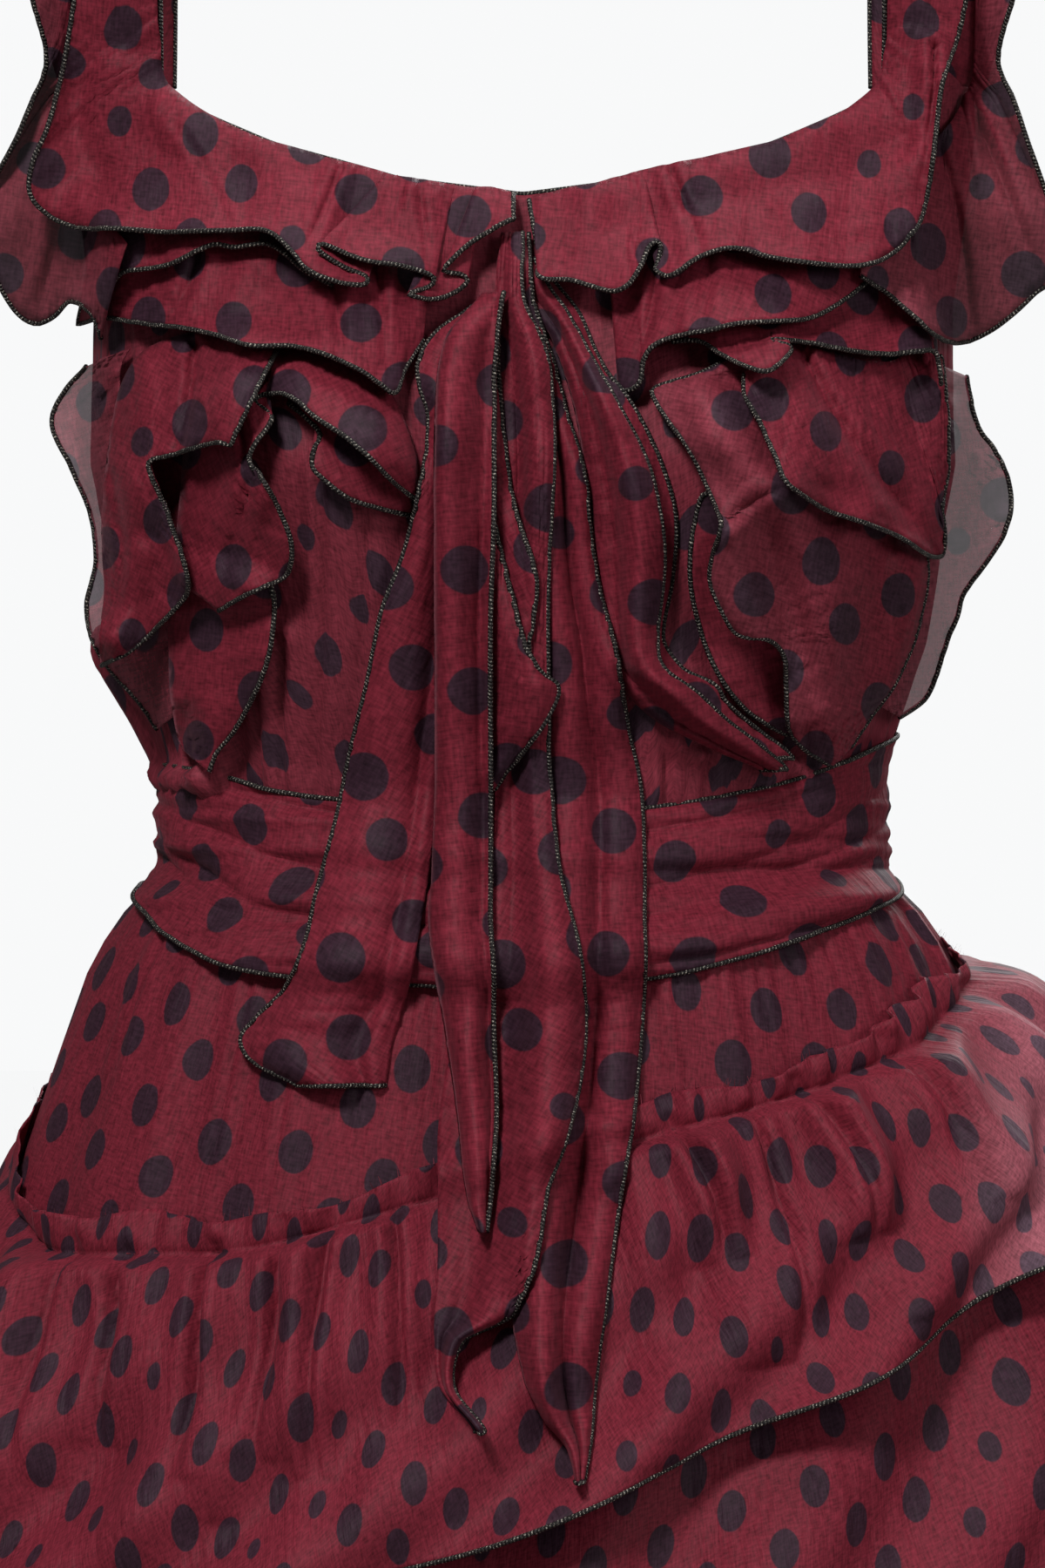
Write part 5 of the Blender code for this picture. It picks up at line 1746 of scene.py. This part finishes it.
# %% Cap ruffles and neck flounces
CAP_FRONT_LEFT = [
    Rib(-128, 161, -138, 190, 5),
    Rib(-134, 153, -141, 182, 8),
    Rib(-138, 147, -149, 177, 8),
    Rib(-142, 140, -154, 181, 8),
    Rib(-145, 132, -161, 184, 8),
    Rib(-147, 121, -168, 179, 9),
    Rib(-148, 110, -175, 166, 10),
    Rib(-148, 101, -180, 150, 8),
]
CAP_FRONT_RIGHT = [
    Rib(113, 134, 109, 172, 4),
    Rib(119, 133, 118, 177, 7),
    Rib(125, 131, 126, 184, 9),
    Rib(131, 128, 133, 190, 11),
    Rib(136, 124, 141, 191, 10),
    Rib(141, 118, 149, 189, 10),
    Rib(145, 110, 158, 184, 11),
    Rib(147, 102, 168, 175, 12),
    Rib(148, 94, 178, 162, 12),
]
CAP_HEM_ACROSS = 160
CAP_STEPS = 9
NECK_FRONT_LEFT = [
    Rib(-3, 145, -3, 154, 6, 3),
    Rib(-6, 144, -9, 157, 8, 3),
    Rib(-10, 143, -18, 163, 9, 3),
    Rib(-14, 143, -24, 169, 9, 3),
    Rib(-15, 143, -25, 171, 8, 2.5),
    Rib(-13, 143, -19, 172, 7, 2),
    Rib(-12, 143, -18, 175, 6, 2),
    Rib(-17, 143, -27, 180, 7, 2),
    Rib(-24, 142, -37, 179, 8, 2),
    Rib(-22, 142, -30, 176, 9, 2),
    Rib(-24, 142, -29, 173, 10, 2),
    Rib(-30, 141, -38, 170, 11, 2),
    Rib(-37, 140, -51, 168, 12, 2),
    Rib(-43, 139, -64, 163, 12, 2),
    Rib(-44, 139, -65, 165, 11, 1.5),
    Rib(-42, 139, -57, 170, 9, 1),
    Rib(-40, 139, -50, 173, 8, 1),
    Rib(-42, 139, -51, 176, 8, 0.5),
    Rib(-48, 137, -60, 175, 10),
    Rib(-56, 135, -69, 171, 12),
    Rib(-64, 133, -75, 164, 12),
    Rib(-73, 130, -83, 158, 11),
    Rib(-84, 127, -96, 158, 11),
    Rib(-95, 122, -112, 158, 12),
    Rib(-104, 117, -125, 157, 12),
    Rib(-111, 112, -143, 155, 12),
    Rib(-115, 108, -155, 150, 12),
    Rib(-117, 103, -161, 143, 13),
    Rib(-118, 97, -160, 133, 15),
    Rib(-118, 90, -155, 121, 17),
    Rib(-119, 80, -151, 104, 19),
]
NECK_FRONT_RIGHT = [
    Rib(2, 147, 6, 168, 6),
    Rib(4, 146, 5, 172, 9),
    Rib(8, 145, 7, 174, 11, 0.5),
    Rib(16, 143, 15, 174, 12, 1),
    Rib(23, 142, 22, 176, 13, 1),
    Rib(29, 140, 29, 178, 13, 1),
    Rib(33, 139, 34, 176, 12, 1),
    Rib(36, 138, 38, 170, 10, 1),
    Rib(38, 138, 41, 163, 9, 1),
    Rib(39, 138, 44, 162, 9, 0.5),
    Rib(37, 138, 44, 166, 8),
    Rib(36, 138, 43, 171, 7),
    Rib(40, 137, 48, 173, 8),
    Rib(49, 135, 57, 167, 11),
    Rib(59, 133, 68, 164, 12),
    Rib(71, 130, 80, 167, 12),
    Rib(83, 127, 95, 169, 13),
    Rib(94, 122, 110, 169, 13),
    Rib(103, 118, 120, 164, 14),
    Rib(110, 113, 128, 155, 15),
    Rib(115, 108, 131, 146, 16),
    Rib(117, 102, 133, 135, 18),
    Rib(118, 94, 135, 120, 19),
    Rib(119, 85, 137, 106, 20),
]
NECK_HEM_ACROSS = 141
NECK_FOLDS = [
    Crease(-116, 116, -94, 158, 5, 3.0, 1, 2),
    Crease(-134, 100, -150, 138, 7, 3.0, 0, 2),
    Crease(-82, 130, -72, 160, 9, 3.0, 0, 0),
    Crease(-58, 134, -70, 166, 5, 4.0, 1, 0),
    Crease(-34, 140, -30, 170, 5, 3.0, 1, 0),
    Crease(134, 92, 128, 146, 5, 5.0, 1, 2),
    Crease(124, 156, 98, 160, 4, 3.5, 1, 2),
    Crease(92, 126, 108, 160, 10, 3.0, 0, 0),
    Crease(48, 138, 58, 168, 6, 4.0, 1, 1),
    Crease(22, 144, 24, 174, 6, 3.0, 0, 0),
]
CAP_FOLDS = [
    Crease(-150, 134, -160, 178, 7, 6.0, 1, 2),
    Crease(-142, 146, -146, 178, 5, 5.0, 1, 0),
    Crease(-158, 120, -174, 162, 8, 4.0, 0, 2),
    Crease(136, 126, 148, 186, 7, 6.0, 1, 2),
    Crease(124, 136, 128, 184, 6, 5.0, 1, 0),
    Crease(150, 118, 170, 170, 8, 5.0, 1, 0),
]
NECK_WIDTH = 48
OVER_STEPS = 8
BACK_STEPS = 11


def over_shoulder(side, hem_across, steps, first_turn, last_turn, hem_lag, sewn_across):
    """Ribs of a ruffle from the front to the back over one shoulder, its hem waving."""
    ribs = []
    for step in range(steps):
        turn = first_turn + (last_turn - first_turn) * step / (steps - 1)
        run = AXIS_DROP - TURN_RADIUS * math.radians(turn)
        wave = math.cos(step * math.pi)
        lag = hem_lag * math.cos(math.radians(turn))
        ribs.append(Rib(side * sewn_across, run, side * (hem_across + 4 * wave), run + lag, 9 + 4 * wave))
    return ribs


def neck_back(side):
    """Ribs along the back neck, from a strap to the middle of the back."""
    ribs = []
    for step in range(BACK_STEPS):
        share = step / (BACK_STEPS - 1)
        angle = 132 + (180 - 132) * share
        drop = float(read_table(BODICE_TOP, "angle", "drop", angle))
        across = STRAP_INNER * math.cos(share * math.pi / 2) + 1.2
        wave = math.cos(step * math.pi)
        top_run = BACK_START - (drop + 3 - AXIS_DROP)
        hem_across = across * (1.22 - 0.12 * share) + 1.5 * share
        ribs.append(Rib(side * across, top_run, side * hem_across, top_run - NECK_WIDTH, 9 + 3 * wave))
    return ribs


# The cap ruffles' pale tone towards the hem is painted light showing through the silk.
for side, name, front in ((-1, "left", CAP_FRONT_LEFT), (1, "right", CAP_FRONT_RIGHT)):
    over = over_shoulder(side, CAP_HEM_ACROSS, CAP_STEPS, 16, 168, 34, STRAP_OUTER - 1)
    flounce(f"cap_ruffle_{name}", front + over, FLOATING, pale=(0.0, 0.35), pitch=12, crease=1.6, step=2.1,
            folds=CAP_FOLDS)
for side, name, front in ((-1, "left", NECK_FRONT_LEFT), (1, "right", NECK_FRONT_RIGHT)):
    over = over_shoulder(side, NECK_HEM_ACROSS, OVER_STEPS, 36, 158, 12, STRAP_INNER + 1)
    flounce(f"neck_flounce_{name}", front + over + neck_back(side), belly=1.5, wave=0.5, crease=0.6,
            edges="start hem end", step=1.8, folds=NECK_FOLDS)
print(len(made), "pieces made")

# %% [markdown]
# Last, the triangles of every piece, with its edges and threads, are counted and printed.

# %% Triangle count
def face_count(thing):
    """Triangles, with both faces of a shell counted and not its rim."""
    sides = 2 if thing.modifiers else 1
    return sides * sum(len(face.vertices) - 2 for face in thing.data.polygons)


triangles = 0
for name, (thing, ropes, points) in made.items():
    triangles += sum(face_count(part) for part in (thing, *ropes))
print(triangles, "triangles in all")
